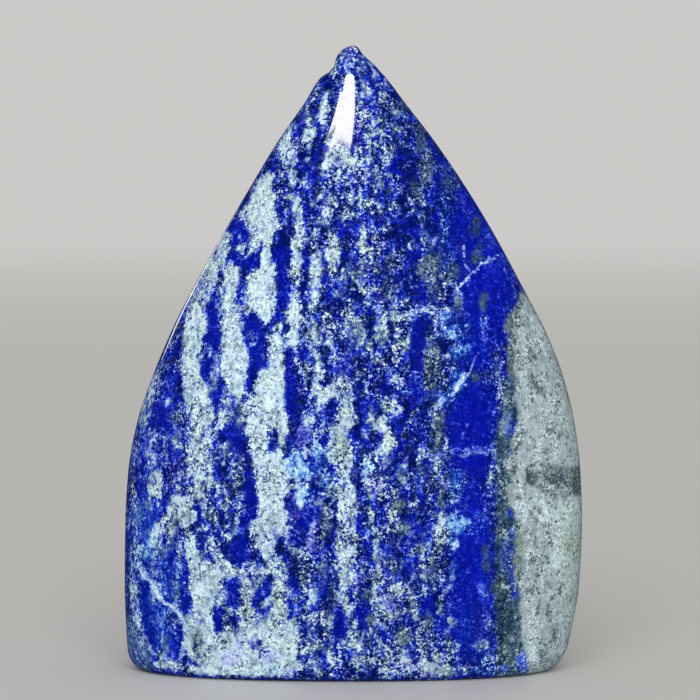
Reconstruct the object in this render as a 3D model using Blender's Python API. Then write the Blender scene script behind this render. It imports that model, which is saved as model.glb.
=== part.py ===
"""Lapis lazuli freeform: one polished stone in the shape of a flame.

The stone is a thick lens with rounded left and right sides. It stands on a flat ground base with a
worn rim, is widest about a quarter of the way up, and draws in to a small nub with a ledge beside it.
It is lofted from horizontal sections, each one half-ovals in front and behind that meet at the sides.
Axes: +X to the right seen from the front, -Y to the front, +Z up. The origin is the base's centre.
"""

import math

import bmesh
import bpy

NAME = "lapis_freeform"
MM = 0.001

# Driving dimensions, in millimetres, measured from the upright axis over the origin.
HEIGHT = 110.0
LEFT_REACH = 40.4
RIGHT_REACH = 40.5
FRONT_REACH = 18.4
BACK_REACH = 17.8

# Sections from the base to the nub: height in percent of HEIGHT, then the left, right, front and back
# reaches in percent of the largest.
SECTIONS = (
    (0.0, 98.0, 92.0, 78.0, 84.0),
    (5.5, 99.3, 95.1, 85.0, 90.0),
    (13.6, 100.0, 98.8, 93.5, 96.0),
    (23.6, 99.6, 100.0, 99.0, 99.5),
    (32.0, 98.2, 99.2, 100.0, 100.0),
    (40.2, 94.0, 96.3, 96.5, 96.0),
    (47.7, 86.9, 91.1, 89.5, 89.0),
    (54.8, 78.7, 83.4, 81.0, 79.4),
    (58.9, 73.2, 77.6, 75.8, 73.9),
    (62.0, 68.6, 73.1, 71.8, 69.5),
    (69.7, 57.0, 61.8, 61.0, 58.4),
    (77.4, 44.8, 49.1, 49.8, 47.0),
    (85.0, 32.2, 35.0, 37.2, 35.0),
    (91.0, 20.8, 22.4, 26.8, 25.0),
    (95.0, 13.8, 14.1, 19.2, 18.0),
    (95.7, 10.8, 12.3, 17.7, 16.6),
    (96.9, 8.1, 9.4, 14.9, 13.9),
    (97.8, 7.4, 6.6, 12.6, 11.8),
    (98.7, 6.3, 4.1, 9.6, 9.1),
    (99.4, 4.2, 2.8, 6.5, 6.3),
    (99.8, 2.2, 1.8, 3.4, 3.4),
)

# The sections bulge a little more than ellipses low down, and are ellipses (2) at the nub.
BASE_BULGE = 2.18
NUB_BULGE = 2.0

# The worn rim round the base, as its width and height: small along the front and the back, and worn
# back most at the right end.
RIM_ALONG_FACES = (1.5, 1.5)
RIM_AT_LEFT = (2.6, 3.5)
RIM_AT_RIGHT = (3.2, 5.0)
RIM_STEPS = 5

# Hand grinding leaves the broad faces gently wavy: wavelengths along X and Z with a phase, in
# millimetres. The waves die out towards the two ends, the base and the nub.
WAVE_HEIGHT = 0.12
WAVES = ((47.0, 39.0, 0.4), (-29.0, 66.0, 2.1), (83.0, -31.0, 4.4))
BACK_PHASE = 1.9
WAVE_FADE = 8.0

SEGMENTS = 72
BODY_RINGS = 37
LEDGE_PERCENT = 95.0

STONE_COLOUR = (0.012, 0.022, 0.28, 1.0)
STONE_ROUGHNESS = 0.16


def clear_scene():
    for thing in list(bpy.data.objects):
        bpy.data.objects.remove(thing, do_unlink=True)


def slopes(knots, values):
    """Slopes at the knots that keep a cubic through them free of overshoot."""
    steps = [
        (values[i + 1] - values[i]) / (knots[i + 1] - knots[i])
        for i in range(len(knots) - 1)
    ]
    result = [steps[0]]
    for before, after in zip(steps, steps[1:]):
        if before * after <= 0.0:
            result.append(0.0)
        else:
            result.append(2.0 * before * after / (before + after))
    result.append(steps[-1])
    return result


def smooth_curve(knots, values):
    """A smooth function of height that passes through the given values."""
    tangents = slopes(knots, values)

    def curve(height):
        height = min(max(height, knots[0]), knots[-1])
        i = 0
        while i < len(knots) - 2 and height > knots[i + 1]:
            i += 1
        span = knots[i + 1] - knots[i]
        t = (height - knots[i]) / span
        lower = (1.0 + 2.0 * t) * (1.0 - t) ** 2 * values[i]
        lower += t * (1.0 - t) ** 2 * span * tangents[i]
        upper = t * t * (3.0 - 2.0 * t) * values[i + 1]
        upper += t * t * (t - 1.0) * span * tangents[i + 1]
        return lower + upper

    return curve


HEIGHTS = [section[0] * HEIGHT / 100.0 for section in SECTIONS]
LEFT, RIGHT, FRONT, BACK = (
    smooth_curve(HEIGHTS, [section[column] * reach / 100.0 for section in SECTIONS])
    for column, reach in enumerate((LEFT_REACH, RIGHT_REACH, FRONT_REACH, BACK_REACH), start=1)
)


def section_point(height, inset, angle):
    """The outline at a height, drawn in by inset; angle 0 is the right end and 90 degrees the back."""
    c = math.cos(angle)
    s = math.sin(angle)
    bulge = BASE_BULGE + (NUB_BULGE - BASE_BULGE) * height / HEIGHT
    half_width = (RIGHT(height) if c > 0.0 else LEFT(height)) - inset
    half_depth = (BACK(height) if s > 0.0 else FRONT(height)) - inset
    x = math.copysign(abs(c) ** (2.0 / bulge), c) * half_width
    y = math.copysign(abs(s) ** (2.0 / bulge), s) * half_depth
    return x, y


def wave(x, z, angle):
    """How far along Y grinding left the face out of true here."""
    shift = BACK_PHASE if math.sin(angle) > 0.0 else 0.0
    total = 0.0
    for along_x, along_z, phase in WAVES:
        total += math.sin(math.tau * (x / along_x + z / along_z) + phase + shift)
    fade = min(z, HEIGHT - z, WAVE_FADE) / WAVE_FADE
    return WAVE_HEIGHT * total * fade * math.sin(angle) ** 2


def ring(height_of, inset_of):
    """One closed loop of points; height and inset may change along it."""
    points = []
    for i in range(SEGMENTS):
        angle = math.tau * i / SEGMENTS
        z = height_of(angle)
        x, y = section_point(z, inset_of(angle), angle)
        y += wave(x, z, angle)
        points.append((x * MM, y * MM, z * MM))
    return points


def rim_size(angle, axis):
    """The rim's width (axis 0) or height (axis 1) at this place round the stone."""
    end = RIM_AT_RIGHT if math.cos(angle) > 0.0 else RIM_AT_LEFT
    near_end = math.cos(angle) ** 4
    return RIM_ALONG_FACES[axis] + (end[axis] - RIM_ALONG_FACES[axis]) * near_end


def rim_rings():
    """The worn rim: a quarter round from the flat base up to the side of the stone."""
    rings = []
    for step in range(RIM_STEPS + 1):
        turn = math.radians(90.0 * step / RIM_STEPS)
        rise = 1.0 - math.cos(turn)
        drawn_in = 1.0 - math.sin(turn)
        rings.append(
            ring(
                lambda angle, rise=rise: rise * rim_size(angle, 1),
                lambda angle, drawn_in=drawn_in: drawn_in * rim_size(angle, 0),
            )
        )
    return rings


def body_rings():
    """The sides from just above the rim to the ledge, and then every section of the nub."""
    first = max(RIM_AT_LEFT[1], RIM_AT_RIGHT[1]) + 1.5
    ledge = LEDGE_PERCENT * HEIGHT / 100.0
    heights = [first + (ledge - first) * i / BODY_RINGS for i in range(BODY_RINGS)]
    heights += [height for height in HEIGHTS if height >= ledge]
    return [ring(lambda angle, z=z: z, lambda angle: 0.0) for z in heights]


def stone_mesh():
    bm = bmesh.new()
    loops = [[bm.verts.new(point) for point in points] for points in rim_rings() + body_rings()]
    for lower, upper in zip(loops, loops[1:]):
        for i in range(SEGMENTS):
            j = (i + 1) % SEGMENTS
            bm.faces.new((lower[i], lower[j], upper[j], upper[i]))
    bm.faces.new(list(reversed(loops[0])))
    tip = bm.verts.new((0.0, 0.0, HEIGHT * MM))
    for i in range(SEGMENTS):
        bm.faces.new((loops[-1][i], loops[-1][(i + 1) % SEGMENTS], tip))
    bmesh.ops.recalc_face_normals(bm, faces=bm.faces)
    mesh = bpy.data.meshes.new(NAME)
    bm.to_mesh(mesh)
    bm.free()
    return mesh


def stone_material():
    material = bpy.data.materials.new("polished_lapis")
    material.use_nodes = True
    shader = material.node_tree.nodes["Principled BSDF"]
    shader.inputs["Base Color"].default_value = STONE_COLOUR
    shader.inputs["Roughness"].default_value = STONE_ROUGHNESS
    shader.inputs["Metallic"].default_value = 0.0
    return material


def make_stone():
    mesh = stone_mesh()
    mesh.materials.append(stone_material())
    mesh.shade_smooth()
    mesh.set_sharp_from_angle(angle=math.radians(40.0))
    stone = bpy.data.objects.new(NAME, mesh)
    bpy.context.scene.collection.objects.link(stone)
    return stone


clear_scene()
make_stone()
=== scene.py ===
import math
from types import SimpleNamespace

import bpy
import numpy as np
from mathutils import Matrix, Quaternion, Vector


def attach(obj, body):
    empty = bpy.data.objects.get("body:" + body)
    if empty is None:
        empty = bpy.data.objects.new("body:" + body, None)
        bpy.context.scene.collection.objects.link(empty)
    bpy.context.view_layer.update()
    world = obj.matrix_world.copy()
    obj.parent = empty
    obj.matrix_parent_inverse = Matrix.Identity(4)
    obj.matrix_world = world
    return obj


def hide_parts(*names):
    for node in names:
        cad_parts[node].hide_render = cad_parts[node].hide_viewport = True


# The looks of the lapis lazuli freeform. The polished surface is built finely here from the same
# sections as the solid, and its minerals are laid out as streaks, veins and soft patches in named tables.
# A few of these are painted light instead: a highlight along the base's rim, a sheen along the right
# edge, and a greenish shade along the right rim.
# These are placed by pixel (column, row) of the 700 x 700 frame that the camera sees, and they run on
# through the stone from front to back, as bands of rock do. Each table becomes a field on the mesh, from
# 0 to 1, which the material reads and adds the grain to.
# Lengths are in millimetres unless a name says otherwise, and the object itself is in metres.

NODE = "lapis_freeform"
MM = 0.001

# The stone's form, as in the solid. The sections run from the base to the nub: height in percent of
# HEIGHT, then the left, right, front and back reaches in percent of the largest.
HEIGHT = 110.0
LEFT_REACH = 40.4
RIGHT_REACH = 40.5
FRONT_REACH = 18.4
BACK_REACH = 17.8
SECTIONS = (
    (0.0, 98.0, 92.0, 78.0, 84.0),
    (5.5, 99.3, 95.1, 85.0, 90.0),
    (13.6, 100.0, 98.8, 93.5, 96.0),
    (23.6, 99.6, 100.0, 99.0, 99.5),
    (32.0, 98.2, 99.2, 100.0, 100.0),
    (40.2, 94.0, 96.3, 96.5, 96.0),
    (47.7, 86.9, 91.1, 89.5, 89.0),
    (54.8, 78.7, 83.4, 81.0, 79.4),
    (58.9, 73.2, 77.6, 75.8, 73.9),
    (62.0, 68.6, 73.1, 71.8, 69.5),
    (69.7, 57.0, 61.8, 61.0, 58.4),
    (77.4, 44.8, 49.1, 49.8, 47.0),
    (85.0, 32.2, 35.0, 37.2, 35.0),
    (91.0, 20.8, 22.4, 26.8, 25.0),
    (95.0, 13.8, 14.1, 19.2, 18.0),
    (95.7, 10.8, 12.3, 17.7, 16.6),
    (96.9, 8.1, 9.4, 14.9, 13.9),
    (97.8, 7.4, 6.6, 12.6, 11.8),
    (98.7, 6.3, 4.1, 9.6, 9.1),
    (99.4, 4.2, 2.8, 6.5, 6.3),
    (99.8, 2.2, 1.8, 3.4, 3.4),
)
BASE_BULGE = 2.18
NUB_BULGE = 2.0

# The worn rim round the base, as its width and height.
RIM_ALONG_FACES = (1.5, 1.5)
RIM_AT_LEFT = (2.6, 3.5)
RIM_AT_RIGHT = (3.2, 5.0)

# The gentle waves that hand grinding leaves in the broad faces.
WAVE_HEIGHT = 0.12
WAVES = ((47.0, 39.0, 0.4), (-29.0, 66.0, 2.1), (83.0, -31.0, 4.4))
BACK_PHASE = 1.9
WAVE_FADE = 8.0

# How finely the visible surface is divided: round it, and from the middle of the base up to the nub.
FRONT_SEGMENTS = 280
BACK_SEGMENTS = 94
BASE_ROWS = 10
RIM_ROWS = 8
BODY_ROWS = 226
NUB_ROWS = 22
LEDGE_PERCENT = 95.0

# The innermost row of the base, as a share of its outline.
BASE_HUB = 0.06

# The height, as a share of the stone's, where points are spaced evenly, and the steps that measure it.
EVEN_LEVEL = 0.3
OUTLINE_STEPS = 4000

# The camera: its place, its tilt, its focal length in pixels of the frame, and the column of the frame
# where the stone's upright axis stands.
FRAME_PIXELS = 700
CAMERA_DISTANCE = 510.0
CAMERA_HEIGHT = 91.0
CAMERA_DOWN_DEGREES = 3.86
FOCAL_PIXELS = 2900.3
AXIS_COLUMN = 352.9
SENSOR = 36.0


# ---------------------------------------------------------------- form

def slopes(knots, values):
    """Slopes at the knots that keep a cubic through them free of overshoot."""
    steps = np.diff(values) / np.diff(knots)
    before = steps[:-1]
    after = steps[1:]
    same_way = before * after > 0.0
    total = np.where(same_way, before + after, 1.0)
    inner = np.where(same_way, 2.0 * before * after / total, 0.0)
    return np.concatenate([steps[:1], inner, steps[-1:]])


def smooth_curve(knots, values):
    """A smooth function of height through the given values, for arrays."""
    knots = np.array(knots)
    values = np.array(values)
    tangents = slopes(knots, values)

    def curve(height):
        height = np.clip(height, knots[0], knots[-1])
        i = np.clip(np.searchsorted(knots, height, side="right") - 1, 0, len(knots) - 2)
        span = knots[i + 1] - knots[i]
        t = (height - knots[i]) / span
        lower = (1.0 + 2.0 * t) * (1.0 - t) ** 2 * values[i] + t * (1.0 - t) ** 2 * span * tangents[i]
        upper = t * t * (3.0 - 2.0 * t) * values[i + 1] + t * t * (t - 1.0) * span * tangents[i + 1]
        return lower + upper

    return curve


HEIGHTS = [row[0] * HEIGHT / 100.0 for row in SECTIONS]
LEFT, RIGHT, FRONT, BACK = (
    smooth_curve(HEIGHTS, [row[column] * reach / 100.0 for row in SECTIONS])
    for column, reach in enumerate((LEFT_REACH, RIGHT_REACH, FRONT_REACH, BACK_REACH), start=1)
)


def section_points(height, inset, angle):
    """Outline points at these heights and angles, drawn in by inset. Angle 0 is the right end."""
    c = np.cos(angle)
    s = np.sin(angle)
    bulge = BASE_BULGE + (NUB_BULGE - BASE_BULGE) * height / HEIGHT
    half_width = np.where(c > 0.0, RIGHT(height), LEFT(height)) - inset
    half_depth = np.where(s > 0.0, BACK(height), FRONT(height)) - inset
    x = np.sign(c) * np.abs(c) ** (2.0 / bulge) * half_width
    y = np.sign(s) * np.abs(s) ** (2.0 / bulge) * half_depth
    return x, y + wave(x, height, s)


def wave(x, z, s):
    """How far along Y grinding left the face out of true, where s is the sine of the angle."""
    shift = np.where(s > 0.0, BACK_PHASE, 0.0)
    total = 0.0
    for along_x, along_z, phase in WAVES:
        total = total + np.sin(math.tau * (x / along_x + z / along_z) + phase + shift)
    fade = np.clip(np.minimum(z, HEIGHT - z) / WAVE_FADE, 0.0, 1.0)
    return WAVE_HEIGHT * total * fade * s ** 2


def even_angles(start, end, count):
    """Angles from start to end that are evenly spaced along a section's outline."""
    fine = np.linspace(start, end, OUTLINE_STEPS)
    x, y = section_points(np.full_like(fine, EVEN_LEVEL * HEIGHT), 0.0, fine)
    run = np.concatenate([[0.0], np.cumsum(np.hypot(np.diff(x), np.diff(y)))])
    return np.interp(np.linspace(0.0, run[-1], count, endpoint=False), run, fine)


def rim_size(angle, axis):
    """The rim's width (axis 0) or height (axis 1) at these places round the stone."""
    end = np.where(np.cos(angle) > 0.0, RIM_AT_RIGHT[axis], RIM_AT_LEFT[axis])
    return RIM_ALONG_FACES[axis] + (end - RIM_ALONG_FACES[axis]) * np.cos(angle) ** 4


def stone_rows():
    """Rows of points from the middle of the base, out over the rim and up to the nub."""
    angle = np.concatenate(
        [even_angles(0.0, math.pi, BACK_SEGMENTS), even_angles(math.pi, math.tau, FRONT_SEGMENTS)]
    )
    rows = []
    for turn in np.radians(np.linspace(0.0, 90.0, RIM_ROWS)):
        z = (1.0 - math.cos(turn)) * rim_size(angle, 1)
        x, y = section_points(z, (1.0 - math.sin(turn)) * rim_size(angle, 0), angle)
        rows.append(np.stack([x, y, z], axis=1))
    shares = np.linspace(BASE_HUB, 1.0, BASE_ROWS, endpoint=False)
    base = [rows[0] * (share, share, 1.0) for share in shares]
    rim_top = rim_size(angle, 1)
    ledge = LEDGE_PERCENT * HEIGHT / 100.0
    for share in np.linspace(0.0, 1.0, BODY_ROWS + 1)[1:]:
        z = rim_top + (ledge - rim_top) * share
        x, y = section_points(z, 0.0, angle)
        rows.append(np.stack([x, y, z], axis=1))
    for z in np.linspace(ledge, HEIGHTS[-1], NUB_ROWS + 1)[1:]:
        level = np.full_like(angle, z)
        x, y = section_points(level, 0.0, angle)
        rows.append(np.stack([x, y, level], axis=1))
    return np.array(base + rows)


def stone_mesh():
    """The polished surface as one closed mesh, and its points in millimetres."""
    rows = stone_rows()
    levels, around = rows.shape[:2]
    points = np.concatenate([rows.reshape(-1, 3), [(0.0, 0.0, 0.0)], [(0.0, 0.0, HEIGHT)]])
    hub = levels * around
    tip = hub + 1
    first = np.arange(around)
    after = np.roll(first, -1)
    faces = []
    for level in range(levels - 1):
        low = level * around
        high = low + around
        faces += np.stack([low + first, low + after, high + after, high + first], axis=1).tolist()
    top = (levels - 1) * around
    faces += [(int(b), int(a), hub) for a, b in zip(first, after)]
    faces += [(int(top + a), int(top + b), tip) for a, b in zip(first, after)]
    mesh = bpy.data.meshes.new("lapis_stone")
    mesh.from_pydata((points * MM).tolist(), [], faces)
    mesh.validate()
    mesh.shade_smooth()
    mesh.update()
    return mesh, points


def to_pixels(points):
    """Where the camera sees these points, in millimetres, as columns and rows of the frame."""
    down = math.radians(CAMERA_DOWN_DEGREES)
    ahead = CAMERA_DISTANCE + points[:, 1]
    above = points[:, 2] - CAMERA_HEIGHT
    depth = ahead * math.cos(down) - above * math.sin(down)
    up = above * math.cos(down) + ahead * math.sin(down)
    column = AXIS_COLUMN + FOCAL_PIXELS * points[:, 0] / depth
    row = FRAME_PIXELS / 2 - FOCAL_PIXELS * up / depth
    return column, row


# ---------------------------------------------------------------- markings, in pixels of the frame

# The stone's paler and bluer places, laid over each other in this order. Each is (paleness, then one or
# more (column, row, half width)): a streak through those places, or a spot where there is only one.
# Paleness runs from 0, the deepest blue, to 1, the white calcite.

# The thin speckled streaks of the nub, the upper middle and the upper right.
SPECKLED_MIDDLE = (
    (0.9, (341, 57, 2), (337, 62, 4), (334, 67, 2.5), (331, 73, 1.5)), (0.7, (325, 75, 1), (333, 74, 2)),
    (0.8, (333, 88, 1), (329, 93, 2.2), (325, 98, 1.2)),
    (0.85, (325, 103, 2), (325, 109, 4.5), (322, 116, 3.5), (321, 120, 2.5)),
    (0.75, (326, 120, 3), (325, 125, 3.5), (322, 128, 2)), (0.7, (326, 142, 2), (332, 143, 4)),
    (0.85, (330, 152, 6), (330, 168, 6)), (0.85, (340, 152, 8), (340, 168, 6)),
    (0.85, (352, 152, 8), (352, 168, 6)), (0.75, (362, 160, 5), (364, 172, 4), (364, 180, 3)),
    (0.65, (306, 143, 3), (308, 150, 3), (307, 160, 2)), (0.7, (357, 92, 1.2), (358, 98, 1.2)),
    (0.7, (357, 108, 1.2), (358, 112, 1.2)), (0.6, (371, 63, 1), (373, 70, 1.5), (375, 77, 2.5)),
    (0.6, (368, 82, 1.5), (368, 88, 1.5)), (0.65, (369, 92, 3), (371, 97, 3)),
    (0.55, (361, 105, 3), (366, 103, 4), (371, 100, 3)),
    (0.65, (381, 92, 1), (384, 98, 1.5), (385, 104, 2.5)), (0.45, (378, 85, 3), (386, 84, 3)),
    (0.55, (363, 113, 2), (368, 118, 3), (373, 118, 2)), (0.6, (361, 122, 3)),
    (0.65, (376, 129, 3), (382, 130, 4), (387, 133, 2)),
    (0.6, (369, 131, 3), (371, 140, 3), (370, 147, 2)), (0.5, (378, 118, 3), (384, 122, 3)),
    (0.5, (394, 127, 3), (399, 130, 4), (401, 134, 2)), (0.45, (395, 108, 5), (398, 113, 5)),
    (0.65, (404, 117, 1), (412, 129, 1), (416, 132, 1)),
    (0.65, (383, 143, 1.5), (386, 150, 2.5), (387, 160, 4.5)),
    (0.7, (360, 146, 1.5), (361, 150, 2), (360, 157, 1.5)), (0.02, (376, 146, 4), (378, 150, 4)),
    (0.6, (304, 183, 3), (310, 185, 3)), (0.65, (322, 192, 1.5), (318, 198, 2.5), (314, 204, 2)),
    (0.6, (326, 206, 5), (326, 215, 6), (332, 222, 4)), (0.5, (312, 226, 4), (316, 234, 4)),
    (0.5, (326, 178, 5), (326, 190, 4), (330, 198, 3)),
    (0.85, (332, 238, 4), (333, 250, 6), (332, 262, 5), (332, 268, 4)),
    (0.7, (316, 256, 5), (314, 270, 5.5), (315, 282, 6), (314, 292, 6), (312, 303, 5)),
    (0.6, (349, 174, 3), (351, 195, 2.5), (351, 203, 2.5)),
    (0.55, (367, 152, 2), (371, 158, 2.5), (366, 163, 2)),
    (0.65, (378, 157, 1.5), (377, 168, 2.5), (378, 177, 2), (375, 184, 2.5), (376, 194, 2.5)),
    (0.6, (391, 173, 2.5), (396, 176, 2)), (0.5, (392, 182, 4), (397, 188, 3), (394, 196, 2)),
    (0.7, (360, 190, 2), (361, 196, 2.5)), (0.65, (362, 203, 3.5), (370, 203, 3)),
    (0.75, (377, 203, 2), (380, 208, 2)), (0.65, (333, 196, 3), (335, 203, 3)), (0.5, (332, 214, 3)),
    (0.85, (344, 212, 1.5), (344, 217, 2)), (0.65, (353, 213, 2), (359, 217, 2)),
    (0.5, (372, 212, 3), (369, 220, 3)), (0.7, (394, 204, 2), (396, 207, 1.5)),
    (0.6, (366, 222, 2), (363, 232, 2.5)),
    (0.85, (364, 234, 3), (363, 243, 3.5), (364, 250, 3.5), (361, 251, 1.5)),
    (0.65, (373, 229, 3), (374, 237, 3), (377, 245, 2.5)),
    (0.6, (372, 252, 3), (374, 262, 4), (376, 268, 3)), (0.5, (385, 229, 2), (390, 229, 1.5)),
    (0.5, (380, 241, 2), (384, 245, 1.5)), (0.5, (392, 256, 3), (392, 268, 3.5)), (0.5, (411, 246, 4)),
    (0.4, (427, 154, 4), (429, 168, 4)), (0.4, (420, 184, 3)), (0.45, (420, 196, 3), (423, 203, 3)),
    (0.4, (420, 212, 2), (422, 232, 2.5), (424, 248, 2.5)), (0.5, (432, 242, 4)),
    (0.6, (427, 262, 7), (426, 272, 8), (430, 280, 5)),
    (0.6, (304, 325, 1), (310, 314, 3), (312, 324, 5), (312, 334, 6)),
    (0.05, (304, 256, 3), (304, 275, 2.5), (304, 295, 3.5), (303, 310, 3), (304, 325, 2.2), (303, 342, 4)),
    (0.05, (304, 352, 4), (306, 362, 5), (308, 384, 4)),
    (0.7, (319, 337, 3), (323, 330, 2.5), (329, 334, 2.5), (331, 341, 2), (334, 351, 2)),
    (0.85, (312, 345, 3), (315, 353, 4), (321, 357, 2.5)), (0.9, (318, 362, 2.5), (318, 372, 4)),
    (0.08, (325, 278, 4)), (0.45, (333, 277, 3), (333, 285, 3)), (0.55, (344, 270, 3), (343, 278, 3)),
    (0.6, (352, 272, 3), (357, 274, 4), (365, 273, 3)), (0.95, (356, 281, 1.5), (358, 281, 1.5)),
    (0.45, (347, 291, 4)), (0.8, (335, 293, 1), (338, 294, 1)),
    (0.65, (360, 288, 3), (366, 293, 4), (370, 300, 4)), (0.6, (371, 287, 2), (377, 288, 2)),
    (0.5, (351, 305, 3.5), (350, 315, 3), (348, 324, 3)),
    (0.6, (357, 328, 4), (358, 336, 5.5), (353, 340, 5), (353, 347, 4), (360, 343, 3)),
    (0.45, (327, 318, 4), (330, 325, 4)), (0.6, (378, 310, 4), (381, 320, 3), (381, 332, 4)),
    (0.6, (370, 345, 3)), (0.5, (376, 361, 5)), (0.45, (391, 284, 4), (391, 298, 4)),
    (0.65, (378, 306, 4), (385, 310, 5), (393, 314, 5)),
    (0.75, (393, 314, 3), (400, 318, 3), (408, 317, 3)), (0.5, (396, 300, 3), (395, 308, 3)),
    (0.5, (405, 303, 4)), (0.75, (410, 312, 1.5), (417, 314, 3), (421, 310, 2), (428, 310, 1.8)),
    (0.9, (433, 313, 1.5), (437, 309, 1.5), (441, 310, 1.5)),
    (0.9, (441, 299, 1.2), (444, 296, 1.5), (446, 296, 1)),
    (0.7, (387, 316, 2), (383, 322, 4), (379, 330, 4), (382, 336, 5)),
    (0.5, (395, 326, 1.5), (398, 333, 1.5)), (0.65, (405, 328, 2.5), (408, 333, 2.5)),
    (0.75, (398, 337, 3), (404, 340, 5), (403, 346, 4)), (0.6, (395, 345, 6)),
    (0.65, (395, 352, 2), (396, 358, 2.5), (394, 362, 2)), (0.5, (377, 358, 5), (380, 364, 4)),
    (0.45, (443, 276, 5), (447, 281, 4)), (0.5, (445, 312, 5), (444, 320, 4)),
    (0.65, (447, 328, 6), (454, 330, 5), (455, 336, 4)), (0.5, (435, 323, 3)),
    (0.6, (457, 296, 3), (459, 303, 3.5), (458, 310, 3)), (0.4, (483, 295, 2.5), (483, 309, 2.5)),
    (0.4, (431, 340, 6)), (0.55, (427, 358, 3), (428, 368, 4), (430, 382, 4)),
    (0.02, (417, 322, 4), (418, 345, 6), (417, 366, 4)), (0.6, (459, 348, 3)),
)

# The broad broken band down the left face, and the blue gaps in it.
LEFT_FLANK = (
    (0.45, (300, 108, 2), (310, 100, 2), (318, 92, 2.5)), (0.5, (313, 113, 4), (309, 119, 5)),
    (0.85, (309, 128, 3.5), (309, 134, 7), (305, 139, 4)),
    (0.85, (287, 126, 3), (286, 136, 5), (288, 150, 8), (289, 158, 8), (291, 166, 5), (293, 176, 4),
     (292, 185, 3)), (0.7, (288, 197, 3), (293, 200, 4), (296, 208, 4), (298, 216, 2.5)),
    (0.55, (294, 218, 3), (297, 224, 2.5), (299, 234, 2), (298, 244, 3)),
    (0.8, (296, 246, 4.5), (296, 256, 5.5), (295, 268, 5.5), (293, 275, 4)),
    (1.0, (268, 178, 5), (264, 188, 9), (262, 200, 12.5), (262, 212, 13), (264, 224, 12)),
    (0.9, (272, 222, 6), (278, 226, 4)),
    (0.95, (266, 232, 6), (266, 245, 5), (266, 258, 5.5), (266, 270, 7)),
    (0.85, (252, 208, 4), (243, 215, 4.5), (246, 221, 4)),
    (0.85, (258, 230, 5), (254, 240, 5), (252, 248, 3.5), (250, 254, 2)),
    (0.7, (238, 248, 2.5), (246, 246, 3)), (0.6, (234, 216, 2)),
    (0.85, (226, 235, 4), (224, 245, 6), (221, 256, 5), (216, 266, 6), (212, 275, 8), (207, 288, 7),
     (203, 295, 6)), (0.6, (244, 253, 1.5), (248, 258, 1.5)),
    (0.97, (201, 298, 4), (196, 310, 7.5), (195, 320, 9), (196, 330, 10.5), (194, 340, 9), (191, 350, 7)),
    (0.9, (190, 360, 8.5), (190, 372, 9), (193, 382, 9), (197, 392, 10), (198, 402, 11), (199, 412, 11.5)),
    (0.84, (200, 422, 10), (200, 432, 10.5), (201, 442, 11), (200, 452, 12.5), (200, 464, 14),
     (200, 476, 14.5)), (0.7, (203, 350, 3.5), (204, 355, 3)), (0.1, (193, 299, 3.5), (192, 304, 4)),
    (0.2, (210, 281, 1.8), (210, 285, 1.8)), (0.3, (202, 280, 2.5), (201, 286, 2.5)), (0.3, (193, 407, 2)),
    (0.5, (214, 362, 4), (216, 372, 4), (216, 380, 5)),
    (0.95, (232, 268, 6), (231, 280, 8), (230, 292, 7), (229, 303, 9), (234, 313, 8), (231, 325, 10.5)),
    (0.97, (231, 335, 10.5), (232, 345, 10.5), (235, 356, 13.5), (235, 366, 13.5), (236, 376, 12),
     (237, 386, 9)), (0.9, (238, 394, 7)), (0.5, (217, 303, 4), (223, 312, 4)),
    (0.05, (209, 297, 3), (210, 308, 5.5), (211, 318, 5.5), (213, 328, 5), (212, 338, 7), (213, 348, 6)),
    (0.05, (212, 358, 5), (206, 368, 4)),
    (0.08, (217, 385, 4.5), (217, 396, 5), (213, 416, 2.5), (213, 428, 2.5), (216, 438, 4)),
    (0.1, (218, 450, 4.5), (218, 462, 5), (221, 474, 7), (220, 483, 6)),
    (0.7, (221, 403, 3), (221, 416, 4), (220, 428, 3.5)),
    (0.06, (222, 273, 2), (221, 283, 2.5), (220, 292, 4)), (0.04, (233, 256, 7), (236, 263, 5)),
    (0.04, (247, 262, 5), (246, 270, 5), (244, 277, 4)),
    (0.05, (254, 258, 5), (257, 265, 3.5), (254, 272, 2)),
    (0.14, (242, 284, 3), (241, 292, 4), (240, 298, 5), (244, 306, 4), (246, 313, 3)),
    (1.0, (267, 272, 8), (261, 283, 13.5), (261, 293, 14.5), (262, 303, 13), (263, 311, 9), (264, 318, 5)),
    (0.05, (251, 320, 8), (254, 329, 10), (256, 338, 7), (258, 350, 7), (258, 360, 7), (254, 370, 6)),
    (0.06, (253, 378, 5), (253, 384, 4)), (0.4, (254, 336, 3), (254, 343, 3)),
)

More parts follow.
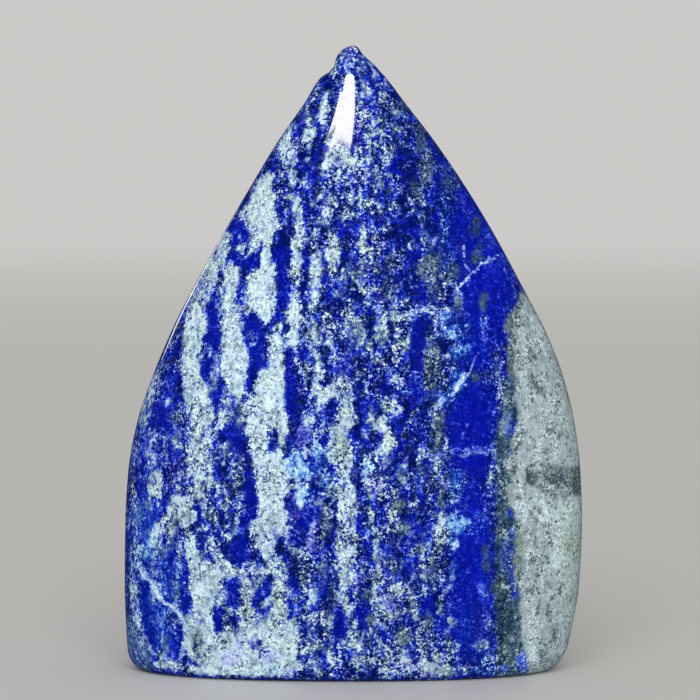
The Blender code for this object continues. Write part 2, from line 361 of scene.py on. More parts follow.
# The broadest pale column, left of the middle, and its blue islands.
BROAD_COLUMN = (
    (0.05, (280, 248, 8), (280, 260, 8), (282, 272, 5.5), (282, 284, 6), (284, 296, 6), (281, 308, 6),
     (277, 316, 5)), (0.6, (296, 280, 4), (295, 292, 5), (295, 303, 5)),
    (0.95, (294, 308, 5), (293, 317, 8), (297, 327, 5), (294, 335, 6), (293, 343, 5)),
    (0.6, (296, 352, 3), (298, 370, 2)), (0.8, (277, 328, 2.5), (281, 325, 2.5), (281, 329, 2)),
    (0.15, (287, 326, 2.5), (286, 333, 2.5)), (0.55, (285, 340, 3), (286, 345, 2)),
    (1.0, (277, 338, 4), (276, 350, 8), (273, 362, 10.5), (271, 374, 12.5), (271, 386, 14.5),
     (270, 397, 15)), (0.97, (266, 406, 19), (265, 416, 21), (266, 426, 21.5)),
    (0.95, (257, 438, 10), (260, 450, 8), (262, 460, 9)),
    (0.95, (281, 434, 8), (280, 446, 5), (278, 458, 7)),
    (0.95, (272, 462, 16), (273, 474, 18), (272, 486, 16.5), (270, 498, 13), (270, 508, 12.5),
     (272, 516, 13.5)),
    (0.93, (273, 524, 14), (268, 530, 13), (265, 542, 11), (267, 549, 9), (270, 556, 7)),
    (0.85, (254, 526, 5), (258, 533, 7)), (0.7, (284, 522, 6), (285, 532, 4.5)),
    (0.06, (271, 430, 3.5), (273, 438, 5), (272, 447, 4.5)), (0.3, (247, 389, 3), (251, 395, 3)),
    (0.7, (240, 404, 5), (247, 410, 6), (246, 420, 5)),
    (0.05, (230, 407, 4), (230, 430, 6), (236, 436, 7), (240, 445, 9)),
    (0.05, (246, 452, 5), (247, 463, 6), (247, 474, 5), (246, 484, 4)),
    (0.4, (227, 444, 2), (226, 455, 3)), (0.5, (237, 423, 3)), (0.42, (237, 460, 5), (238, 478, 6)),
    (0.05, (291, 356, 4), (290, 365, 4), (292, 378, 6), (293, 392, 8), (297, 402, 10), (296, 412, 9),
     (293, 422, 5)), (0.05, (292, 430, 3), (289, 438, 4), (289, 447, 5), (287, 454, 4)),
    (0.4, (301, 372, 3), (307, 378, 3)), (0.35, (300, 390, 4)),
    (0.06, (248, 478, 4), (250, 490, 5.5), (251, 502, 6), (252, 514, 6), (247, 523, 4)),
    (0.06, (280, 539, 3.5), (281, 546, 4.5), (283, 553, 6)), (0.5, (286, 538, 3), (285, 544, 2)),
    (0.5, (274, 532, 3.5)), (0.08, (255, 550, 3), (259, 556, 3.5), (264, 563, 3.5)),
    (0.75, (272, 556, 4), (275, 562, 6), (283, 562, 4), (272, 569, 5), (283, 576, 5)),
    (0.75, (256, 565, 4), (258, 574, 4), (256, 582, 5), (250, 588, 5)),
    (0.75, (241, 573, 3), (245, 574, 3), (247, 585, 6), (246, 600, 7), (246, 612, 8), (246, 622, 6)),
    (0.06, (267, 575, 4.5), (268, 584, 5), (266, 591, 5), (259, 590, 4), (260, 598, 6), (261, 606, 7)),
    (0.06, (259, 614, 5.5), (259, 619, 4)), (0.5, (262, 592, 2), (258, 591, 1)),
    (0.55, (267, 600, 0.8), (266, 612, 0.8)), (0.8, (281, 572, 6), (280, 585, 6.5), (278, 595, 6)),
    (0.8, (279, 605, 6), (276, 614, 7)), (0.06, (293, 580, 5), (290, 588, 5), (296, 590, 4)),
)

# The ring, the hooks and the long streaks of the lower middle, and the thin ones to their right.
LOWER_MIDDLE = (
    (0.7, (311, 395, 3), (318, 391, 5), (328, 393, 6), (336, 389, 4)),
    (0.75, (322, 399, 4), (330, 396, 4)), (0.7, (335, 382, 4), (346, 386, 3)),
    (0.7, (318, 380, 3), (316, 388, 3)), (0.7, (321, 404, 2.5), (316, 409, 2.5)),
    (0.65, (306, 418, 4), (312, 420, 4), (314, 427, 3)),
    (0.6, (314, 432, 3), (318, 437, 3), (322, 430, 1.5)),
    (0.04, (331, 402, 4), (330, 411, 6), (331, 430, 4), (325, 438, 5), (322, 446, 4)),
    (0.95, (343, 400, 4), (345, 408, 7), (345, 418, 9), (343, 428, 6)), (0.6, (334, 418, 2)),
    (0.85, (341, 434, 7), (340, 445, 12), (340, 455, 13), (343, 465, 10), (342, 475, 8.5)),
    (0.75, (343, 483, 7)),
    (0.93, (346, 492, 6), (347, 502, 8), (346, 514, 8.5), (346, 528, 8), (345, 541, 8), (345, 549, 9)),
    (0.9, (348, 558, 7), (348, 570, 7), (349, 582, 6.5), (349, 592, 5)),
    (0.75, (350, 600, 4), (350, 612, 4), (352, 632, 4.5), (354, 640, 6), (358, 645, 6)),
    (0.8, (359, 653, 6), (359, 661, 6.5), (360, 667, 4.5)), (0.4, (302, 434, 6), (306, 440, 6)),
    (0.65, (296, 452, 4), (295, 462, 6), (294, 472, 4), (295, 484, 4)),
    (0.65, (305, 452, 4), (306, 458, 3), (305, 466, 3), (306, 475, 3)),
    (0.6, (316, 444, 4), (317, 452, 5), (318, 460, 3)), (0.5, (324, 472, 4), (326, 482, 5)),
    (0.1, (323, 456, 3), (326, 464, 4), (332, 470, 3.5)), (0.1, (310, 459, 3)),
    (0.93, (304, 488, 4), (303, 496, 6.5), (303, 502, 5)), (0.6, (306, 506, 1.5), (313, 504, 2)),
    (0.6, (308, 508, 1), (307, 514, 1.5)),
    (0.65, (313, 526, 3.5), (312, 534, 3), (310, 542, 3.5), (310, 549, 3.5)),
    (0.45, (324, 523, 4), (325, 531, 5), (325, 539, 4)),
    (0.55, (318, 511, 3), (323, 508, 3), (322, 518, 2)),
    (0.6, (323, 507, 1.2), (331, 504, 1.2), (338, 502, 1.2)),
    (0.6, (321, 479, 4), (327, 483, 3), (334, 482, 4)), (0.45, (328, 490, 3), (332, 496, 3)),
    (0.06, (333, 508, 4), (333, 520, 4), (334, 532, 3.5), (333, 542, 3)), (0.8, (337, 546, 3)),
    (0.65, (294, 550, 3), (300, 551, 4), (305, 554, 3)),
    (0.5, (306, 560, 1.5), (307, 567, 1.5), (304, 573, 2)), (0.4, (303, 566, 4), (304, 586, 4)),
    (0.6, (312, 577, 2.5), (309, 583, 2), (311, 590, 2.5)), (0.5, (323, 553, 3), (327, 558, 3)),
    (0.5, (322, 566, 4), (326, 574, 4), (332, 578, 3), (335, 583, 3), (334, 592, 3), (332, 600, 3)),
    (0.55, (360, 375, 5), (368, 372, 5)), (0.45, (357, 382, 4), (366, 383, 3)),
    (0.5, (368, 382, 1.5), (368, 394, 1.5)), (0.4, (392, 368, 2.5), (394, 375, 3)),
    (0.7, (392, 382, 2.5), (397, 382, 2.5), (402, 384, 3)), (0.6, (401, 389, 1.5), (408, 393, 1.5)),
    (0.8, (388, 400, 2.5), (384, 408, 3), (386, 414, 2.5)),
    (0.85, (393, 402, 3), (398, 408, 3), (400, 412, 2.5), (398, 418, 1.5)),
    (0.85, (372, 417, 3), (370, 424, 3.5), (376, 427, 3), (382, 420, 4)),
    (0.85, (383, 428, 4), (387, 434, 4), (389, 442, 6), (394, 442, 3)),
    (0.95, (386, 448, 4), (383, 454, 7), (388, 457, 4)),
    (0.75, (368, 462, 4), (370, 470, 5), (365, 472, 2)), (0.5, (385, 465, 5)),
    (0.6, (352, 415, 3), (355, 420, 3)), (0.5, (364, 430, 3), (368, 436, 3)),
    (0.4, (414, 420, 5), (411, 427, 4), (417, 412, 3)),
    (0.8, (421, 451, 1.5), (423, 456, 2.5), (428, 455, 1.5)),
    (0.9, (434, 410, 2), (438, 406, 2.5), (443, 400, 2)), (0.8, (443, 398, 1.5), (446, 392, 1.5)),
    (0.75, (449, 396, 3.5), (451, 390, 3)), (0.85, (457, 386, 3), (461, 380, 4), (464, 376, 3)),
    (0.45, (430, 390, 5), (434, 402, 3)), (0.4, (435, 414, 3), (436, 425, 5), (437, 438, 4)),
    (0.35, (404, 460, 3)), (0.5, (401, 472, 3.5), (406, 474, 3), (402, 480, 3)),
    (0.4, (421, 466, 3), (423, 474, 4)), (0.5, (434, 456, 4), (436, 466, 5), (440, 475, 4)),
    (0.45, (442, 454, 2.5), (452, 452, 3), (463, 450, 2.5)), (0.6, (448, 440, 1.5), (446, 447, 1.5)),
    (0.6, (372, 479, 4), (378, 482, 6), (378, 490, 6), (374, 497, 3)), (0.5, (386, 494, 4), (392, 493, 3)),
    (0.8, (364, 480, 2.5), (365, 486, 2)), (0.55, (398, 504, 4.5)), (0.75, (396, 510, 2)),
    (0.6, (370, 509, 2.5), (369, 517, 4), (371, 524, 3), (370, 529, 4), (372, 534, 3), (377, 540, 3.5)),
    (0.5, (386, 510, 3), (391, 515, 5)), (0.5, (384, 526, 4), (398, 525, 5), (404, 530, 5), (408, 527, 3)),
    (0.5, (386, 534, 3)), (0.65, (377, 550, 2.5), (379, 558, 3), (378, 568, 3), (380, 588, 3)),
    (0.4, (388, 570, 2.5), (390, 578, 2)),
    (0.55, (398, 571, 1.2), (402, 564, 1.5), (408, 558, 1.2), (413, 553, 1.5)),
    (0.5, (394, 545, 1), (400, 538, 1)), (0.55, (412, 576, 1), (420, 568, 1)),
    (0.6, (418, 546, 2.5), (425, 548, 3), (423, 554, 2)),
    (0.7, (424, 558, 2.5), (427, 564, 2.5), (424, 572, 3), (424, 578, 2.5)),
    (0.4, (434, 568, 4), (436, 586, 4)), (0.4, (438, 544, 2), (438, 556, 3)),
    (0.4, (440, 488, 3), (440, 508, 2)), (0.7, (440, 516, 4), (438, 524, 5), (437, 533, 5), (440, 541, 3)),
    (0.85, (445, 530, 2), (449, 534, 2.5)), (0.75, (453, 512, 2.5), (454, 520, 2)),
    (0.75, (452, 528, 4), (466, 522, 4)), (0.6, (450, 540, 4), (453, 547, 2.5)),
    (0.55, (443, 486, 3), (450, 483, 3), (456, 482, 2.5)), (0.55, (453, 492, 4), (456, 500, 2)),
    (0.6, (417, 501, 2.5), (411, 507, 2)), (0.45, (427, 510, 2), (428, 518, 3), (430, 523, 2)),
    (0.6, (454, 567, 3), (453, 576, 2)), (0.55, (440, 579, 1.2), (446, 576, 1.2), (450, 580, 1)),
    (0.5, (452, 585, 1), (443, 590, 1), (441, 597, 1)), (0.7, (423, 482, 2), (425, 484, 1.2)),
    (0.5, (442, 455, 2.5), (448, 456, 2), (455, 452, 2)),
    (0.5, (466, 449, 1.2), (475, 448, 1.2), (485, 450, 1.2), (494, 448, 1.5)),
    (0.6, (494, 452, 2), (497, 457, 2)), (0.65, (494, 467, 2.5), (493, 473, 3), (489, 483, 1.5)),
)

# The speckled foot, from the middle to the right.
FOOT = (
    (0.8, (396, 588, 5), (398, 593, 5), (392, 590, 3), (396, 599, 3)), (0.7, (405, 585, 2)),
    (0.75, (384, 596, 3), (385, 602, 4), (381, 606, 3)),
    (0.75, (376, 609, 3), (383, 611, 4), (386, 616, 3)),
    (0.65, (389, 613, 4), (392, 616, 3), (388, 620, 3)), (0.65, (378, 618, 4), (380, 625, 3)),
    (0.5, (371, 619, 4), (371, 623, 3)), (0.4, (392, 605, 3)),
    (0.6, (410, 592, 2), (412, 600, 3), (414, 608, 3), (410, 612, 3), (414, 618, 3)),
    (0.02, (427, 600, 7), (430, 610, 7)), (0.6, (425, 592, 3), (423, 597, 2)),
    (0.45, (440, 598, 3), (442, 612, 3)), (0.65, (427, 612, 1), (431, 617, 1.5)),
    (0.5, (428, 620, 3), (430, 626, 4), (427, 630, 3)), (0.55, (424, 634, 3), (426, 640, 3)),
    (0.65, (375, 627, 2), (378, 632, 2), (382, 645, 2), (384, 650, 2), (385, 655, 2)),
    (0.55, (366, 633, 2)), (0.55, (403, 632, 5), (403, 640, 6)), (0.75, (376, 649, 2), (377, 651, 2)),
    (0.8, (377, 658, 2), (372, 659, 2)), (0.75, (390, 646, 2)), (0.5, (392, 652, 3)),
    (0.65, (381, 664, 3), (384, 668, 3), (387, 662, 2)),
    (0.95, (404, 657, 3), (405, 661, 4), (403, 664, 2.5)),
    (0.8, (398, 663, 2), (410, 666, 2), (412, 671, 2)),
    (0.75, (384, 675, 1.5), (395, 672, 2), (403, 672, 3)), (0.9, (403, 650, 1), (407, 650, 1)),
    (0.7, (422, 650, 2), (421, 646, 2)), (0.85, (422, 660, 1.5)), (0.9, (427, 664, 2), (436, 672, 3)),
    (0.75, (424, 670, 4), (430, 675, 4)), (1.0, (433, 655, 1.5), (436, 656, 1.5)),
    (0.85, (442, 655, 1.5), (440, 660, 1), (445, 664, 1.5), (447, 668, 2)), (0.7, (447, 675, 3)),
    (0.55, (449, 643, 3), (448, 648, 3), (455, 648, 4)),
    (0.5, (448, 626, 2), (447, 632, 1), (450, 636, 1.5)),
    (0.8, (477, 645, 3), (482, 644, 4), (486, 645, 3)), (0.6, (489, 650, 1.2), (491, 657, 1.2)),
    (0.5, (484, 655, 3), (482, 662, 3)), (0.6, (493, 660, 3), (493, 668, 4)),
    (0.65, (480, 585, 2), (484, 595, 1.5)), (0.7, (488, 622, 1.5), (490, 624, 1.5)),
    (0.6, (294, 596, 3.5)),
    (0.05, (298, 598, 3), (296, 606, 4), (291, 606, 4), (294, 613, 5), (295, 619, 4)),
    (0.5, (300, 625, 3), (298, 640, 3)), (0.65, (304, 593, 2.5), (302, 598, 2)),
    (0.75, (314, 596, 5), (311, 603, 4), (305, 606, 3)), (0.6, (305, 612, 3), (308, 618, 3)),
    (0.8, (313, 615, 1.5), (315, 620, 2), (304, 618, 2)),
    (0.65, (310, 622, 3), (313, 628, 3), (316, 634, 2)),
    (0.06, (319, 612, 4), (320, 626, 4), (323, 636, 4)), (0.65, (310, 636, 3), (308, 642, 2.5)),
    (0.6, (316, 645, 5)), (0.8, (329, 612, 2), (329, 617, 3), (329, 624, 2.5)), (0.5, (325, 633, 2)),
    (0.04, (340, 610, 3), (340, 625, 5), (340, 640, 5)), (0.9, (332, 656, 3), (331, 663, 3)),
    (0.7, (334, 677, 3), (338, 668, 2), (340, 640, 1.5), (345, 648, 1.5)),
    (0.5, (308, 655, 3), (311, 662, 3), (314, 670, 4), (320, 674, 3)),
    (0.55, (302, 645, 2), (303, 652, 2)),
)

# The pale foot below the broad bands, with a painted highlight along the base's rim.
PALE_FOOT = (
    (0.95, (190, 532, 3), (192, 538, 5), (191, 546, 6), (192, 556, 6.5), (196, 566, 8), (202, 574, 11)),
    (0.97, (205, 584, 13), (204, 596, 13), (205, 606, 12), (205, 616, 12), (200, 626, 13), (203, 640, 14)),
    (0.8, (212, 540, 3), (213, 548, 4.5), (216, 557, 6), (220, 564, 9), (228, 571, 7), (236, 573, 5)),
    (0.75, (203, 652, 12), (210, 662, 12)), (0.93, (222, 636, 7), (240, 634, 10), (266, 636, 9)),
    (0.95, (275, 618, 7), (278, 628, 12), (287, 645, 8), (287, 655, 8)),
    (0.93, (222, 654, 12), (262, 650, 12), (276, 652, 8)),
    # Painted highlight: this streak and the first one on the next line are the bright reflection along the
    # base's rim.
    (1.0, (210, 670, 4), (225, 669, 4.5), (245, 668, 6), (262, 670, 4)),
    (0.85, (270, 670, 6), (280, 668, 6)), (0.3, (290, 671, 4), (298, 672, 4)),
    (0.8, (286, 675, 1), (298, 677, 1)),
    (0.08, (226, 580, 3), (231, 586, 5), (235, 594, 5), (235, 602, 4.5), (234, 610, 4), (234, 618, 4.5),
     (236, 624, 3.5)),
    (0.08, (219, 601, 4.5), (218, 606, 5.5), (215, 612, 3.5), (217, 627, 3.5), (221, 631, 3)),
    (0.6, (223, 586, 2)), (0.65, (225, 612, 2.5), (225, 620, 3), (227, 626, 3)), (0.9, (225, 593, 2)),
    (0.45, (254, 642, 3), (255, 648, 3)), (0.45, (264, 652, 4), (265, 658, 5)),
    (0.06, (186, 602, 5), (188, 610, 5)),
    (0.06, (187, 654, 3), (189, 660, 4), (193, 666, 4), (198, 670, 2.5)), (0.6, (194, 613, 2.5)),
)

# The thinner markings by the left edge.
LEFT_EDGE = (
    (0.7, (157, 386, 3), (162, 384, 3)), (0.6, (153, 394, 3.5), (150, 400, 3)),
    (0.65, (146, 404, 2.5), (144, 411, 2.5)), (0.45, (141, 424, 2), (145, 421, 2), (141, 433, 2.5)),
    (0.55, (154, 448, 3), (155, 458, 3), (152, 466, 4), (156, 471, 3)),
    (0.6, (147, 453, 2), (149, 462, 2)),
    (0.95, (156, 476, 5), (155, 484, 6), (154, 490, 5), (154, 498, 4.5), (154, 507, 3)),
    (0.5, (137, 448, 3), (134, 458, 3.5), (137, 466, 2)), (0.5, (144, 446, 3)),
    (0.4, (170, 402, 5), (178, 405, 4)), (0.85, (166, 404, 1.2)), (0.8, (180, 401, 1), (179, 408, 1)),
    (0.35, (176, 414, 6), (172, 420, 5)), (0.65, (177, 437, 4), (176, 443, 4)),
    (0.55, (187, 433, 3), (187, 440, 2)), (0.3, (163, 436, 4), (166, 466, 4)),
    (0.42, (176, 458, 4), (180, 470, 5), (178, 482, 4)), (0.6, (129, 512, 1.5), (129, 527, 1.5)),
    (0.6, (134, 487, 1), (134, 495, 2), (136, 503, 1.5), (136, 509, 2)),
    (0.5, (176, 482, 4), (175, 490, 4)), (0.93, (176, 499, 4), (182, 504, 6), (190, 521, 2)),
    (0.55, (174, 514, 3), (174, 524, 3.5), (175, 534, 3), (177, 543, 2.5), (180, 549, 2.5)),
    (0.7, (165, 519, 4), (158, 526, 4), (166, 529, 4)), (0.7, (158, 533, 7), (155, 541, 6), (157, 549, 4)),
    (0.55, (162, 548, 2.5), (162, 556, 2.5)), (0.6, (136, 551, 3), (141, 549, 3), (144, 554, 4)),
    (0.42, (135, 538, 3), (144, 542, 4)),
    (0.8, (134, 567, 1.5), (139, 567, 2.5), (144, 572, 2.5), (150, 580, 2), (154, 585, 4), (157, 592, 4)),
    (0.75, (157, 594, 3), (160, 599, 2), (166, 603, 2), (170, 605, 1.5)),
    (0.9, (175, 607, 1.5), (178, 612, 1.5), (181, 618, 2), (184, 621, 3)),
    (0.8, (184, 621, 3), (186, 628, 2.5), (188, 636, 2.5), (187, 645, 2.5), (184, 650, 1.5),
     (183, 654, 1.5)), (0.45, (153, 560, 3), (152, 570, 3), (155, 577, 3)),
    (0.5, (131, 545, 0.8), (132, 568, 0.8)),
    (0.75, (132, 582, 1.2), (132, 600, 1.2), (133, 612, 2), (137, 618, 2.5)),
    (1.0, (133, 590, 2.5), (134, 595, 2.5)), (0.65, (137, 590, 1), (138, 612, 1)),
    (0.75, (138, 618, 1.5), (138, 626, 1.2), (147, 643, 1.5), (150, 651, 1.2)),
    (0.02, (145, 584, 5), (145, 605, 5), (148, 630, 5), (154, 645, 4)),
    (0.55, (179, 553, 2), (177, 562, 3), (176, 570, 2.5), (178, 577, 2)),
    (0.5, (175, 585, 4), (176, 595, 4)), (0.06, (196, 508, 3), (197, 520, 5), (194, 531, 3.5)),
    (0.05, (202, 537, 3), (203, 548, 4.5), (206, 560, 5), (207, 567, 2.5)),
    (0.05, (217, 510, 3), (218, 538, 4), (225, 549, 6), (228, 556, 5), (232, 564, 3)),
    (0.6, (194, 484, 6), (196, 494, 7), (206, 500, 6), (206, 508, 6), (210, 514, 5), (210, 523, 3)),
    (0.65, (201, 527, 2.5), (206, 530, 2)), (0.15, (204, 484, 2.5), (206, 490, 2.5)),
    (0.15, (195, 502, 2.5)), (0.08, (214, 498, 3), (215, 505, 3)), (0.5, (216, 486, 4), (226, 494, 3)),
    (0.5, (224, 505, 3), (225, 515, 3)), (0.5, (236, 500, 3), (236, 530, 3)),
    (0.6, (224, 531, 3), (228, 538, 3.5)), (0.05, (242, 538, 7), (243, 560, 7), (247, 566, 4)),
    (0.5, (251, 543, 2), (248, 552, 2), (251, 560, 2)),
    (0.6, (158, 621, 2), (163, 615, 3), (162, 625, 4), (163, 634, 3)), (0.5, (162, 608, 3)),
    (0.5, (175, 623, 2), (175, 628, 2.5)),
    (0.6, (163, 640, 1.5), (165, 646, 2), (163, 652, 2), (165, 656, 2)),
    (0.85, (158, 653, 1), (164, 657, 2), (169, 660, 2)),
    (0.8, (158, 667, 3), (163, 663, 2), (167, 666, 3), (173, 667, 2)), (0.6, (178, 662, 2), (182, 668, 3)),
)
